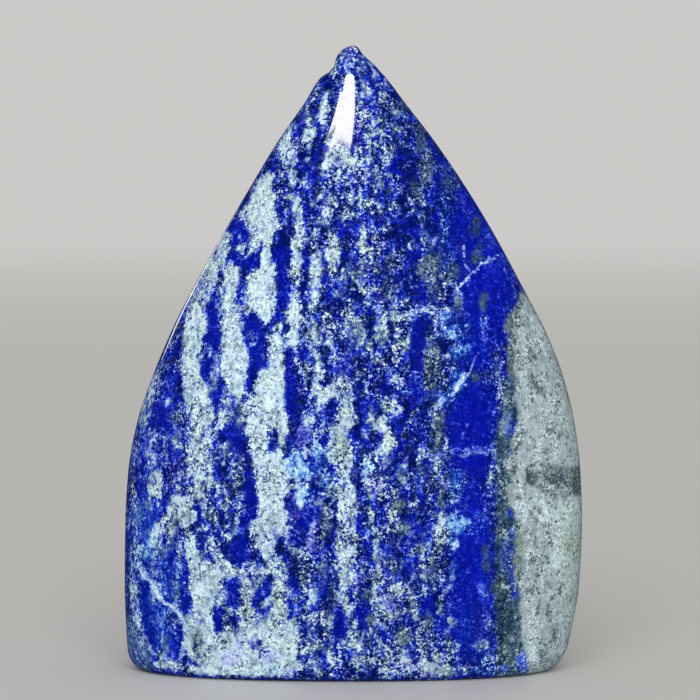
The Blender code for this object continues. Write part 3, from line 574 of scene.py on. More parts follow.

# Streaks and spots over all the others: bright cores, dark gaps, soft places between the bands, and painted
# highlight along the base's rim.
OVERLAID = (
    (0.8, (318, 374, 4), (318, 390, 6)), (1.0, (321, 397, 5), (328, 393, 6), (334, 390, 5)),
    (0.85, (335, 381, 4), (342, 392, 5)), (0.75, (316, 404, 3), (318, 410, 4)),
    (0.75, (308, 418, 5), (306, 424, 4), (314, 431, 4)), (0.9, (303, 467, 4), (306, 475, 4)),
    (0.95, (352, 495, 4), (354, 504, 5), (353, 514, 4)), (0.55, (323, 514, 6), (326, 524, 5)),
    (0.42, (436, 415, 5), (436, 430, 6), (438, 445, 5)),
    (0.5, (435, 460, 5), (434, 468, 5), (438, 475, 5)), (0.4, (430, 352, 6), (432, 372, 7), (436, 392, 6)),
    (0.35, (452, 475, 7), (462, 478, 6)), (0.6, (455, 482, 3.5), (455, 490, 4.5), (455, 498, 4)),
    (0.75, (441, 521, 5), (440, 530, 6), (447, 532, 4)),
    (0.9, (453, 517, 3), (455, 524, 5), (463, 523, 4), (466, 523, 3)),
    (0.8, (455, 530, 4.5), (453, 540, 4.5), (455, 547, 3.5)), (0.45, (495, 464, 2.5), (492, 472, 2.5)),
    (0.85, (133, 587, 2.5), (134, 593, 3)), (0.75, (144, 553, 3.5)),
    (0.6, (153, 545, 4), (152, 558, 3.5), (154, 568, 3)),
    (0.7, (178, 556, 3), (177, 565, 3.5), (177, 574, 2.5)), (0.5, (154, 594, 4), (157, 602, 3)),
    (0.5, (163, 606, 2.5), (160, 620, 3.5), (163, 632, 3.5), (165, 646, 3)),
    (0.8, (157, 666, 3), (164, 664, 3.5), (172, 666, 2.5)),
    (0.85, (213, 262, 5), (208, 276, 6), (206, 290, 5)), (0.8, (247, 302, 5), (246, 312, 5)),
    (0.85, (180, 503, 5), (190, 518, 4)),
    (0.9, (296, 200, 4), (299, 215, 4), (300, 230, 4), (299, 246, 5)), (0.7, (310, 326, 5), (327, 342, 4)),
    (0.75, (374, 118, 3), (377, 130, 4), (381, 144, 4)),
    (0.8, (250, 566, 6), (262, 572, 6), (272, 566, 5)), (0.85, (222, 588, 4), (219, 604, 5)),
    (0.85, (292, 600, 4), (290, 616, 5), (293, 632, 5)), (0.6, (360, 60, 2.5), (361, 74, 3)),
    (0.75, (202, 288, 5), (205, 300, 4)), (0.6, (213, 374, 4), (212, 386, 4)),
    (0.6, (208, 404, 4), (209, 418, 4)), (0.5, (188, 388, 4), (184, 400, 4)),
    (0.45, (156, 374, 3), (150, 404, 3)), (0.45, (150, 432, 4), (149, 446, 4)),
    (0.6, (221, 448, 4), (223, 462, 5)), (0.6, (224, 488, 5), (224, 500, 5)),
    (0.9, (178, 502, 5), (188, 508, 6), (193, 516, 4)), (0.8, (206, 556, 5), (214, 568, 6), (218, 580, 4)),
    (0.8, (266, 604, 3), (278, 598, 4), (288, 592, 3)), (0.6, (256, 612, 4), (258, 624, 4)),
    (0.8, (190, 638, 5), (192, 650, 4)),
    # Painted highlight: this streak is the bright reflection along the base's rim.
    (0.9, (192, 669, 4), (230, 671, 3.5), (262, 671, 3.5), (296, 666, 5)),
    (0.7, (308, 650, 4), (311, 660, 4)), (0.6, (308, 496, 3), (316, 508, 4)),
    (0.8, (278, 512, 4), (280, 526, 5)), (0.55, (308, 356, 3), (306, 370, 3), (303, 384, 3)),
    (0.55, (322, 534, 3), (323, 546, 3)), (0.55, (337, 566, 3), (336, 584, 4), (334, 602, 3)),
    (0.5, (319, 618, 3), (321, 630, 3)), (0.6, (133, 566, 3), (134, 578, 3)),
    (0.6, (368, 528, 3), (374, 542, 4), (377, 558, 4)), (0.6, (378, 578, 4), (378, 592, 5)),
    (0.65, (377, 606, 4), (379, 624, 5)), (0.6, (367, 636, 3), (364, 650, 4), (364, 664, 4)),
    (0.6, (387, 404, 4), (391, 414, 3)), (0.7, (444, 528, 4), (452, 530, 3)),
    (0.4, (431, 424, 3), (432, 436, 3)), (0.4, (430, 388, 3), (430, 402, 3)),
    (0.45, (446, 380, 3), (443, 392, 3)), (0.45, (488, 502, 2), (496, 506, 2)),
    # Painted highlight: the first streak on this line is the bright reflection along the base's rim.
    (0.6, (430, 668, 4), (455, 670, 4), (480, 668, 4)), (0.45, (355, 330, 4), (356, 342, 4)),
    (0.12, (155, 500, 4), (158, 520, 4)), (0.14, (235, 498, 4), (234, 512, 4)),
    (0.14, (232, 522, 3), (230, 532, 3)), (0.2, (215, 540, 3), (217, 550, 3)),
    (0.15, (290, 602, 3), (291, 618, 3)), (0.6, (343, 376, 4), (345, 400, 4)),
    (0.7, (347, 490, 8), (347, 545, 8), (348, 585, 8)), (0.12, (434, 520, 3), (432, 530, 3)),
    (0.62, (350, 585, 7), (350, 610, 6), (352, 640, 6)), (0.12, (424, 634, 4), (427, 648, 4)),
    (0.55, (206, 348, 4), (208, 356, 4)), (0.5, (222, 286, 2.5), (221, 300, 2.5)),
    (0.5, (203, 300, 3), (205, 318, 2.5)), (0.45, (217, 352, 2.5), (216, 372, 3)),
    (0.45, (254, 332, 3), (252, 344, 3)), (0.5, (287, 205, 3), (288, 222, 2.5)),
    (0.45, (288, 268, 3), (288, 288, 3)), (0.4, (247, 296, 2.5)), (0.4, (236, 232, 4), (240, 240, 3)),
    (0.55, (302, 322, 4), (306, 336, 6), (314, 348, 4)),
    (0.5, (322, 412, 3), (328, 426, 5), (334, 440, 4)), (0.5, (322, 496, 4), (325, 508, 5), (328, 518, 4)),
    (0.5, (354, 328, 4), (357, 340, 4)), (0.5, (372, 488, 3), (376, 500, 4)),
    (0.4, (334, 170, 5), (338, 184, 6), (340, 194, 4)), (0.4, (352, 176, 4), (356, 190, 4)),
    (0.4, (374, 142, 4), (378, 160, 4)), (0.45, (344, 284, 3), (346, 300, 4)),
    (0.5, (446, 356, 3), (458, 352, 4), (470, 346, 3)),
    (0.45, (499, 372, 3), (501, 392, 3), (500, 408, 3)), (0.5, (338, 54, 4), (337, 64, 4), (334, 70, 3)),
    (0.97, (190, 382, 6), (191, 394, 6)), (0.95, (206, 402, 6), (207, 416, 6)),
    (0.9, (172, 508, 5), (180, 517, 7), (186, 522, 5)), (0.75, (222, 494, 6), (223, 504, 5)),
    (1.0, (276, 506, 8), (277, 524, 9)), (0.9, (335, 430, 6), (337, 444, 7)),
    (1.0, (193, 618, 8), (192, 636, 9), (195, 648, 7)),
    (1.0, (216, 656, 6), (246, 664, 9), (288, 656, 9), (288, 640, 7)),
    (0.85, (262, 605, 3), (278, 597, 6)), (0.8, (313, 330, 5), (317, 340, 6)),
    (0.7, (323, 502, 5), (325, 512, 5)), (0.6, (152, 382, 6), (147, 398, 5), (145, 420, 5)),
    (0.6, (154, 436, 6), (153, 450, 5)), (0.97, (204, 572, 8), (214, 576, 7)),
    (0.55, (133, 568, 4), (135, 580, 4)), (0.85, (196, 290, 5), (194, 302, 5)),
    (0.65, (216, 294, 3), (217, 304, 3)), (0.1, (263, 350, 5), (263, 364, 5)),
    (0.3, (207, 546, 3), (207, 556, 3)), (0.12, (322, 614, 5), (323, 626, 5)),
    (0.5, (347, 380, 5), (349, 408, 4)), (0.6, (347, 484, 5), (348, 492, 5)),
    (0.12, (237, 500, 4), (236, 508, 4)), (0.9, (155, 478, 4), (155, 488, 5)),
    (0.15, (168, 478, 5), (172, 490, 4)), (0.75, (343, 168, 5), (343, 180, 6)),
    (0.6, (368, 136, 5), (367, 144, 5)), (0.5, (380, 150, 4), (382, 166, 4), (380, 188, 5)),
    (0.75, (354, 326, 6), (360, 336, 6)), (0.6, (384, 334, 5), (386, 346, 5)),
    (0.3, (411, 196, 3), (412, 214, 3)), (0.45, (382, 250, 5), (396, 256, 5)),
    (0.3, (485, 312, 4), (485, 350, 4)), (0.6, (438, 382, 4), (448, 394, 5)),
    (0.5, (362, 62, 3), (363, 84, 3), (362, 100, 3)), (0.5, (364, 262, 4), (366, 274, 4)),
    (0.5, (354, 354, 4), (354, 368, 4)), (0.12, (372, 108, 5), (374, 116, 4)),
    (0.12, (387, 122, 5), (388, 130, 4)), (0.1, (397, 174, 5), (398, 188, 5)),
    (0.1, (427, 160, 5), (429, 174, 5)), (0.1, (433, 340, 6), (435, 356, 6)),
    (0.12, (450, 318, 4), (451, 328, 4)), (0.12, (414, 412, 5), (415, 424, 5)),
    (0.12, (417, 304, 4), (418, 312, 3)), (0.1, (457, 370, 4), (458, 380, 3)),
    (0.12, (375, 296, 4), (376, 306, 4)), (0.1, (414, 240, 5), (415, 250, 5)),
    (0.15, (350, 146, 4), (353, 152, 4)), (0.72, (378, 602, 6), (378, 620, 5)),
    (0.75, (376, 572, 5), (377, 590, 5)), (0.7, (374, 548, 4), (378, 562, 4)),
    (0.68, (371, 630, 4), (365, 642, 6), (362, 656, 6)),
    # Painted highlight: the first streak on this line is the bright reflection along the base's rim.
    (0.95, (423, 664, 5), (433, 668, 6), (446, 670, 5)), (0.6, (400, 612, 5)),
    (0.5, (448, 604, 4), (450, 624, 4)), (0.95, (450, 529, 5), (458, 527, 5)),
    (0.5, (433, 538, 4), (430, 560, 4)), (0.85, (346, 498, 6), (345, 512, 5)), (0.75, (371, 493, 5)),
    (0.65, (345, 535, 5), (352, 543, 5)), (0.65, (370, 524, 4), (374, 536, 4)),
    (0.5, (392, 498, 4), (402, 505, 4)), (0.65, (405, 466, 4), (405, 478, 4)),
    (0.55, (378, 452, 4), (388, 458, 4)), (0.12, (361, 456, 5)), (0.15, (361, 482, 4)),
    (0.12, (380, 510, 5), (384, 522, 5)), (0.12, (395, 478, 5)), (0.12, (412, 500, 4)),
    (0.15, (455, 494, 4)), (0.2, (453, 539, 4)), (0.12, (437, 568, 5)), (0.12, (433, 644, 5)),
    (0.3, (321, 612, 4), (323, 622, 4)), (0.75, (230, 612, 3), (248, 610, 4)),
    (0.7, (344, 592, 5), (344, 606, 5)), (0.6, (334, 566, 4), (336, 580, 4)), (0.95, (300, 500, 5)),
    (0.95, (278, 592, 6), (280, 602, 5)), (0.6, (228, 396, 5), (229, 418, 5)),
    (0.85, (202, 430, 7), (212, 434, 5)), (0.5, (136, 446, 4), (136, 464, 4)),
    (0.97, (186, 503, 6), (188, 512, 6)), (0.6, (212, 516, 5), (213, 526, 5)),
    # Painted highlight: the second streak on this line is the bright reflection along the base's rim.
    (0.5, (170, 534, 5), (173, 548, 5)), (1.0, (234, 666, 6), (258, 668, 7)),
    (0.42, (428, 264, 7), (428, 276, 7)), (0.22, (434, 352, 6), (435, 368, 7), (436, 386, 6)),
    (0.15, (208, 558, 4)), (0.15, (188, 612, 4)), (1.0, (288, 656, 8)),
    (0.88, (262, 404, 6), (264, 416, 8), (268, 426, 6)), (0.94, (243, 623, 4), (262, 624, 6)),
    (0.86, (262, 624, 5), (282, 620, 6)), (1.0, (262, 198, 7), (263, 218, 8)),
    (0.95, (196, 618, 7), (202, 628, 8)), (0.78, (198, 642, 6), (196, 655, 5)),
    (0.52, (396, 504, 4), (402, 506, 4)), (0.6, (459, 298, 2.5), (459, 308, 2.5)),
    (0.36, (421, 462, 4), (424, 474, 4)), (0.26, (435, 350, 5), (435, 380, 5)),
    (0.4, (387, 260, 3), (392, 264, 3)),
)

MARKINGS = (
    SPECKLED_MIDDLE + LEFT_FLANK + BROAD_COLUMN + LOWER_MIDDLE + FOOT + PALE_FOOT + LEFT_EDGE + OVERLAID
)

# Thin veins on top of the other markings, as (strength, then places as above).
VEINS = (
    (0.9, (497, 255, 1.2), (492, 260, 1.3), (483, 264, 1.6), (477, 270, 1.4), (470, 276, 1.8),
     (463, 283, 1.5)), (0.9, (463, 283, 1.5), (457, 289, 1.5), (455, 293, 1.2)),
    (0.6, (489, 255, 1.0), (490, 262, 1.2)), (0.7, (465, 240, 1.2), (464, 252, 1.8), (465, 258, 1.2)),
    (0.7, (466, 264, 1.2), (470, 271, 1.3)), (0.5, (498, 291, 1.0), (499, 303, 1.0)),
    (0.45, (499, 308, 0.9), (505, 305, 0.9)), (0.45, (483, 318, 1.0), (482, 331, 1.2)),
    (0.7, (478, 351, 0.8), (474, 362, 0.9), (470, 371, 1.2), (465, 379, 1.8)),
    (0.9, (465, 376, 1.8), (461, 381, 3.0), (456, 388, 3.0), (451, 394, 2.0)),
    (0.75, (451, 394, 2.0), (446, 399, 1.8), (440, 405, 1.8), (435, 410, 1.6), (429, 415, 1.0)),
    (0.4, (474, 358, 0.8), (482, 352, 0.7), (486, 345, 0.7)),
    (0.55, (458, 351, 1.2), (464, 359, 1.1), (470, 365, 1.1)), (0.5, (440, 247, 0.9), (448, 248, 0.9)),
    (0.45, (448, 248, 0.9), (462, 251, 0.9)), (0.6, (505, 360, 1.1), (501, 368, 1.3), (500, 373, 1.0)),
    (0.8, (402, 316, 1.4), (410, 314, 1.6), (418, 310, 1.7), (426, 308, 1.5), (432, 310, 1.4),
     (439, 310, 2.2)),
    (0.6, (420, 452, 1.8), (425, 456, 2.0), (434, 457, 1.6), (440, 454, 1.8), (448, 453, 1.6),
     (456, 449, 1.6)), (0.55, (446, 455, 2.6), (462, 455, 3.0), (480, 453, 2.6), (496, 455, 2.0)),
    (0.5, (456, 449, 1.6), (464, 452, 1.6), (470, 447, 1.2), (478, 446, 1.2), (487, 448, 1.4),
     (497, 455, 1.8)), (0.6, (481, 502, 1.2), (484, 511, 1.3), (492, 514, 1.1)),
    (0.5, (493, 431, 1.8), (490, 437, 1.3)), (0.5, (468, 424, 1.3), (464, 432, 1.6), (463, 438, 1.2)),
    (0.45, (442, 163, 0.9), (452, 178, 0.9)), (0.5, (430, 178, 1.0), (436, 175, 1.0)),
    (0.45, (443, 191, 1.0), (454, 194, 1.0)),
    (1.0, (137, 566, 1.8), (142, 572, 1.8), (148, 579, 1.8), (153, 584, 2.6), (156, 589, 3.2),
     (161, 598, 2.2)),
    (1.0, (161, 598, 2.2), (166, 603, 2.0), (174, 608, 1.8), (178, 614, 2.0), (184, 621, 2.0),
     (188, 628, 2.2)),
    (0.95, (137, 600, 1.3), (137, 618, 1.4), (139, 628, 1.4), (142, 634, 1.5), (146, 641, 1.5),
     (150, 650, 1.5)), (0.85, (150, 650, 1.5), (157, 655, 1.4), (164, 657, 1.6), (168, 660, 1.4)),
    (0.6, (131, 602, 1.2), (131, 612, 1.2), (136, 618, 1.4)),
    (0.6, (185, 649, 1.3), (182, 656, 1.5), (179, 661, 1.5)),
    (0.55, (131, 545, 1.5), (131, 560, 1.2), (133, 570, 1.5), (131, 584, 1.4)),
    (0.55, (326, 504, 1.2), (340, 502, 1.1)), (0.6, (197, 292, 1.0), (183, 311, 1.0)),
    (0.5, (371, 63, 0.9), (377, 77, 0.9)),
)

# Soft patches, as (amount, column, row, half width, half height): first where the blue between the
# markings is speckled with paler grain, with two patches of painted sheen along the right edge, and
# where it is deepest and cleanest.
SPECKLED_AND_SHEEN = (
    (0.26, 476, 612, 16, 60), (0.16, 484, 250, 12, 50), (0.36, 345, 60, 14, 16), (0.22, 476, 530, 10, 30),
    # Painted sheen: the last patch on this line and the first on the next are a lighter band along the
    # right edge.
    (0.24, 160, 610, 26, 60), (0.22, 145, 520, 20, 60), (0.2, 466, 330, 8, 24), (0.27, 493, 258, 14, 46),
    (0.24, 466, 205, 12, 32), (0.18, 318, 225, 26, 60), (0.18, 345, 250, 34, 60), (0.15, 380, 200, 26, 60),
    (0.15, 385, 270, 26, 60), (0.19, 345, 340, 30, 40), (0.2, 395, 340, 34, 45), (0.15, 395, 400, 30, 45),
    (0.18, 400, 490, 36, 90), (0.22, 395, 590, 40, 70), (0.2, 322, 580, 20, 60), (0.23, 385, 640, 60, 36),
    (0.23, 320, 640, 22, 36), (0.25, 435, 660, 28, 18), (0.17, 378, 110, 26, 45), (0.15, 300, 120, 24, 40),
    (0.17, 175, 440, 14, 60), (0.17, 150, 560, 22, 60), (0.2, 233, 490, 14, 45), (0.19, 318, 430, 18, 60),
    (0.14, 440, 470, 16, 60), (0.14, 435, 230, 22, 60), (0.17, 340, 90, 30, 40),
)
DEEP_BLUE = (
    (0.8, 410, 428, 14, 22), (0.6, 434, 350, 12, 14), (0.6, 462, 368, 9, 9), (0.5, 320, 74, 8, 10),
    (0.5, 304, 150, 10, 16), (0.5, 432, 165, 8, 14), (0.6, 322, 245, 5, 12), (0.5, 410, 505, 10, 18),
    (0.5, 425, 520, 8, 12), (0.5, 384, 60, 6, 30), (0.5, 436, 195, 12, 30), (0.8, 400, 180, 12, 34),
    (0.8, 412, 240, 16, 22), (0.8, 406, 430, 12, 44), (0.8, 421, 345, 9, 30), (0.7, 470, 430, 20, 60),
    (0.7, 472, 590, 14, 70), (0.6, 285, 245, 7, 40), (0.7, 291, 400, 8, 40), (0.7, 360, 622, 7, 20),
    (0.7, 240, 550, 9, 16), (0.7, 470, 215, 22, 50), (0.7, 486, 285, 22, 50), (0.7, 160, 420, 12, 16),
    (0.6, 305, 250, 5, 50), (0.7, 420, 215, 20, 20), (0.6, 400, 285, 12, 16), (0.6, 360, 300, 8, 10),
    (0.7, 438, 150, 12, 14), (0.6, 345, 240, 6, 24), (0.6, 384, 385, 6, 12), (0.7, 311, 640, 8, 28),
    (0.6, 420, 520, 8, 30), (0.6, 372, 560, 5, 30), (0.6, 235, 232, 14, 12), (0.35, 405, 288, 22, 28),
    (0.7, 476, 338, 12, 18),
)

# Then the tints over the markings: grey-green and olive pyrite-rich grain, turquoise and periwinkle light
# blue, and even royal blue.
OLIVE_TINTS = (
    (1.0, 476, 225, 5, 10), (1.0, 477, 257, 6, 10), (1.0, 484, 302, 4, 10), (1.0, 458, 303, 4, 9),
    (0.9, 432, 366, 9, 34), (0.9, 437, 430, 7, 28), (0.9, 441, 498, 4, 16), (0.9, 425, 168, 7, 18),
    (0.9, 432, 266, 10, 18), (0.8, 452, 270, 9, 12), (0.8, 415, 190, 6, 14), (0.8, 388, 285, 8, 14),
    (0.9, 340, 448, 9, 16), (0.9, 343, 408, 5, 6), (0.8, 325, 520, 6, 12), (0.9, 420, 140, 6, 16),
    (0.8, 404, 105, 5, 10), (0.7, 455, 185, 6, 8), (0.7, 320, 93, 4, 4), (0.6, 361, 67, 4, 9),
    (0.6, 309, 116, 6, 6), (0.7, 381, 120, 6, 5), (0.8, 397, 129, 7, 6), (0.8, 396, 110, 7, 7),
    (0.7, 392, 152, 4, 9), (0.7, 287, 203, 4, 8), (0.6, 188, 344, 6, 6), (0.6, 313, 268, 4, 5),
    (0.6, 312, 303, 4, 5), (0.6, 312, 335, 4, 5), (0.7, 391, 292, 6, 10), (0.7, 350, 315, 5, 12),
    (0.6, 357, 336, 8, 12), (0.6, 329, 322, 6, 8), (0.7, 376, 361, 7, 6), (0.9, 390, 261, 7, 9),
    (0.9, 427, 268, 10, 14), (0.7, 434, 291, 6, 9), (0.8, 445, 278, 6, 6), (0.7, 428, 161, 5, 12),
    (0.7, 420, 184, 5, 5), (0.7, 422, 199, 5, 7), (0.5, 423, 230, 4, 20), (0.7, 382, 335, 6, 6),
    (0.6, 406, 303, 5, 5), (0.6, 405, 341, 6, 6), (0.6, 435, 323, 4, 4), (0.7, 483, 302, 5, 11),
    (0.7, 477, 259, 7, 8), (0.6, 473, 229, 6, 9), (0.6, 480, 245, 3, 6), (0.6, 431, 341, 7, 7),
    (0.7, 447, 183, 5, 9), (0.5, 458, 304, 4, 9), (0.7, 176, 417, 7, 6), (0.7, 177, 439, 5, 6),
    (0.6, 227, 450, 3, 9), (0.5, 240, 415, 9, 14), (0.6, 238, 478, 6, 25), (0.7, 389, 407, 5, 6),
    (0.7, 377, 421, 5, 5), (0.7, 424, 455, 6, 5), (0.7, 431, 386, 6, 14), (0.6, 402, 476, 6, 7),
    (0.6, 422, 470, 5, 8), (0.6, 437, 465, 6, 12), (1.0, 474, 376, 3.5, 5), (0.6, 497, 370, 4, 9),
    (1.0, 399, 505, 8, 7), (0.8, 394, 493, 5, 4), (0.8, 399, 527, 11, 8), (0.7, 378, 539, 4, 5),
    (0.8, 422, 549, 7, 5), (0.8, 432, 572, 7, 14), (0.9, 438, 550, 4, 10), (0.7, 440, 498, 4, 12),
    (0.7, 433, 483, 4, 5), (0.9, 485, 552, 4, 9), (0.8, 326, 534, 6, 9), (0.7, 323, 570, 6, 9),
    (0.7, 304, 574, 6, 16), (0.6, 333, 590, 5, 12), (0.8, 369, 596, 6, 6), (0.6, 377, 582, 5, 5),
    (0.7, 412, 604, 7, 18), (1.0, 371, 619, 5, 7), (0.7, 390, 616, 5, 5), (1.0, 403, 636, 7, 11),
    (0.7, 441, 606, 4, 10), (0.8, 428, 624, 6, 10), (0.7, 424, 650, 6, 10), (0.8, 385, 664, 4, 7),
    (0.8, 450, 645, 6, 9), (0.7, 481, 646, 7, 5), (1.0, 498, 587, 9, 8), (0.7, 316, 646, 7, 6),
    (0.7, 328, 618, 4, 9), (0.5, 353, 630, 5, 16), (0.5, 359, 660, 5, 9), (0.5, 435, 665, 14, 9),
    (0.9, 198, 642, 9, 13), (0.6, 204, 656, 12, 10), (0.5, 225, 640, 8, 6), (0.5, 246, 600, 8, 26),
    (0.6, 257, 580, 7, 8), (0.7, 279, 603, 6, 20), (0.5, 226, 618, 4, 9), (0.7, 210, 515, 5, 5),
    (0.5, 200, 490, 8, 12), (0.6, 174, 530, 4, 20), (0.6, 140, 513, 4, 10), (0.7, 162, 552, 4, 8),
    (0.6, 175, 588, 5, 12), (0.6, 165, 648, 4, 9), (0.6, 186, 635, 4, 8), (0.6, 274, 492, 4, 7),
    (0.5, 334, 492, 6, 8), (0.6, 447, 640, 4, 9), (0.7, 487, 565, 5, 8),
)
CYAN_TINTS = (
    (0.35, 155, 600, 24, 50), (0.35, 143, 540, 16, 40), (0.3, 472, 625, 12, 30), (0.3, 466, 340, 8, 20),
    (0.8, 460, 350, 9, 9), (0.9, 458, 383, 9, 12), (0.8, 444, 400, 7, 7), (0.9, 458, 525, 11, 10),
    (0.7, 454, 542, 6, 9), (0.7, 460, 340, 6, 14), (0.7, 446, 322, 9, 12), (0.7, 370, 467, 7, 6),
    (0.8, 305, 470, 5, 10), (0.8, 304, 494, 6, 9), (0.7, 320, 460, 6, 16), (0.7, 455, 490, 5, 10),
    (0.6, 144, 560, 14, 14), (0.7, 286, 343, 4, 4), (0.7, 451, 331, 7, 9), (0.8, 459, 348, 4, 7),
    (0.7, 295, 462, 9, 18), (0.6, 317, 452, 5, 11), (0.5, 325, 479, 6, 9), (0.6, 404, 391, 6, 4),
    (0.6, 368, 466, 6, 8), (0.7, 450, 394, 5, 6), (0.8, 462, 524, 8, 8), (0.7, 453, 516, 3, 8),
    (0.6, 451, 543, 6, 7), (0.6, 454, 488, 6, 12), (0.6, 458, 476, 8, 7), (0.25, 314, 597, 7, 6),
    (0.5, 424, 594, 5, 6), (0.6, 453, 571, 4, 8), (0.6, 484, 658, 6, 10), (0.7, 480, 671, 10, 5),
    (0.5, 455, 648, 5, 5), (0.4, 272, 672, 8, 4), (0.4, 445, 225, 7, 45), (0.4, 156, 596, 4, 5),
)
VIOLET_TINTS = (
    (0.7, 350, 58, 6, 5), (0.7, 375, 72, 3, 8), (0.6, 336, 95, 3, 5), (0.8, 357, 128, 4, 14),
    (0.6, 355, 146, 4, 4), (0.6, 338, 163, 6, 4), (0.5, 357, 178, 6, 7), (0.6, 382, 243, 5, 5),
    (0.6, 381, 296, 5, 6), (0.7, 463, 250, 4, 9), (0.6, 467, 266, 5, 6), (0.7, 215, 370, 4, 9),
    (0.7, 300, 390, 5, 6), (0.7, 302, 438, 8, 12), (0.5, 178, 472, 6, 16), (0.6, 386, 465, 6, 6),
    (0.5, 357, 472, 5, 5), (0.7, 376, 486, 8, 9), (0.6, 377, 482, 8, 6), (0.5, 446, 485, 7, 4),
    (0.8, 295, 512, 5, 9), (0.5, 292, 497, 4, 5), (0.9, 312, 538, 5, 16), (0.5, 397, 541, 5, 6),
    (0.5, 416, 572, 6, 6), (0.5, 445, 578, 7, 3), (0.7, 229, 659, 9, 7), (0.6, 238, 648, 6, 6),
    (0.7, 254, 643, 5, 8), (0.7, 268, 656, 8, 8), (0.6, 290, 671, 8, 4), (0.5, 239, 630, 4, 4),
    (0.4, 176, 486, 5, 9), (0.5, 153, 568, 4, 10), (0.5, 175, 626, 4, 5), (0.5, 358, 583, 6, 8),
    (0.4, 354, 605, 4, 4), (0.5, 385, 600, 5, 9), (0.5, 392, 605, 7, 6), (0.6, 417, 665, 5, 7),
    (0.5, 405, 668, 5, 4), (0.6, 274, 532, 5, 5), (0.4, 324, 206, 6, 8), (0.5, 430, 676, 12, 3),
    (0.4, 293, 150, 4, 12), (0.5, 480, 625, 9, 18), (0.4, 342, 365, 7, 12),
)
ROYAL_TINTS = (
    (0.9, 476, 560, 14, 90), (0.9, 476, 246, 24, 56), (0.3, 346, 56, 10, 8), (0.8, 165, 560, 16, 30),
    (0.8, 148, 520, 14, 30), (0.7, 304, 514, 14, 26), (0.8, 160, 640, 20, 30), (0.6, 310, 440, 14, 40),
    (0.6, 150, 460, 16, 40), (0.5, 215, 350, 14, 60), (0.5, 245, 340, 14, 30), (0.7, 158, 600, 18, 46),
    (0.6, 164, 425, 14, 40), (0.9, 474, 222, 22, 46), (1.0, 486, 285, 26, 60), (1.0, 470, 430, 22, 60),
    (1.0, 472, 540, 18, 70), (1.0, 470, 610, 22, 50), (0.8, 238, 232, 16, 16), (0.8, 245, 262, 16, 9),
    (0.7, 211, 330, 9, 34), (0.8, 255, 345, 10, 30), (1.0, 478, 346, 14, 24), (0.8, 282, 275, 7, 34),
    (0.7, 160, 415, 11, 18), (0.8, 146, 495, 6, 24), (0.7, 163, 508, 7, 11), (0.8, 162, 588, 10, 12),
    (0.8, 184, 578, 7, 26), (0.8, 147, 605, 8, 34), (0.8, 174, 642, 8, 20), (0.8, 240, 552, 11, 14),
    (0.8, 233, 596, 7, 22), (0.8, 218, 612, 7, 18), (0.8, 263, 600, 10, 24), (0.7, 293, 525, 12, 22),
    (0.8, 288, 392, 8, 34), (0.7, 364, 226, 4, 4), (0.7, 325, 278, 5, 6), (0.8, 345, 366, 7, 12),
    (0.9, 440, 624, 5, 11), (0.9, 322, 588, 6, 7), (0.9, 325, 660, 5, 10), (0.9, 350, 655, 6, 7),
    (0.8, 340, 628, 6, 22), (0.8, 412, 566, 9, 10), (0.7, 292, 600, 8, 24), (0.7, 362, 620, 7, 22),
    (0.6, 318, 501, 4, 4), (0.7, 215, 400, 6, 22), (0.7, 236, 436, 8, 20), (0.7, 250, 500, 7, 26),
    (0.6, 205, 552, 6, 14), (0.6, 418, 345, 8, 30), (0.7, 428, 606, 9, 12), (0.8, 188, 608, 6, 12),
)

# The grey marble on the right and the slate band beside it: where their left edges run, as (column, row).
MARBLE_EDGE = (
    (523, 290), (520, 297), (516, 305), (513, 312), (507, 318), (505, 328), (508, 336), (509, 370),
    (513, 385), (516, 400), (518, 415), (518, 430), (512, 440), (514, 450), (506, 460), (506, 470),
    (512, 480), (506, 490), (509, 502), (515, 515), (518, 525), (515, 550), (515, 570), (519, 590),
    (521, 610), (521, 635), (524, 650), (528, 668), (530, 690),
)
BAND_EDGE = ((545, 300), (520, 330), (506, 380), (500, 425), (496, 440), (496, 700))

# The slate at the lower left corner: where its right edge runs.
CORNER_EDGE = ((126, 612), (138, 626), (142, 634), (147, 643), (150, 651), (152, 690))

# The rows over which the marble, the band and the corner's slate begin, and how soft their edges are.
MARBLE_START = (286, 300)
BAND_START = (300, 340)
CORNER_START = (606, 622)
STONE_EDGE_PIXELS = 2.5
CORNER_EDGE_PIXELS = 2.0

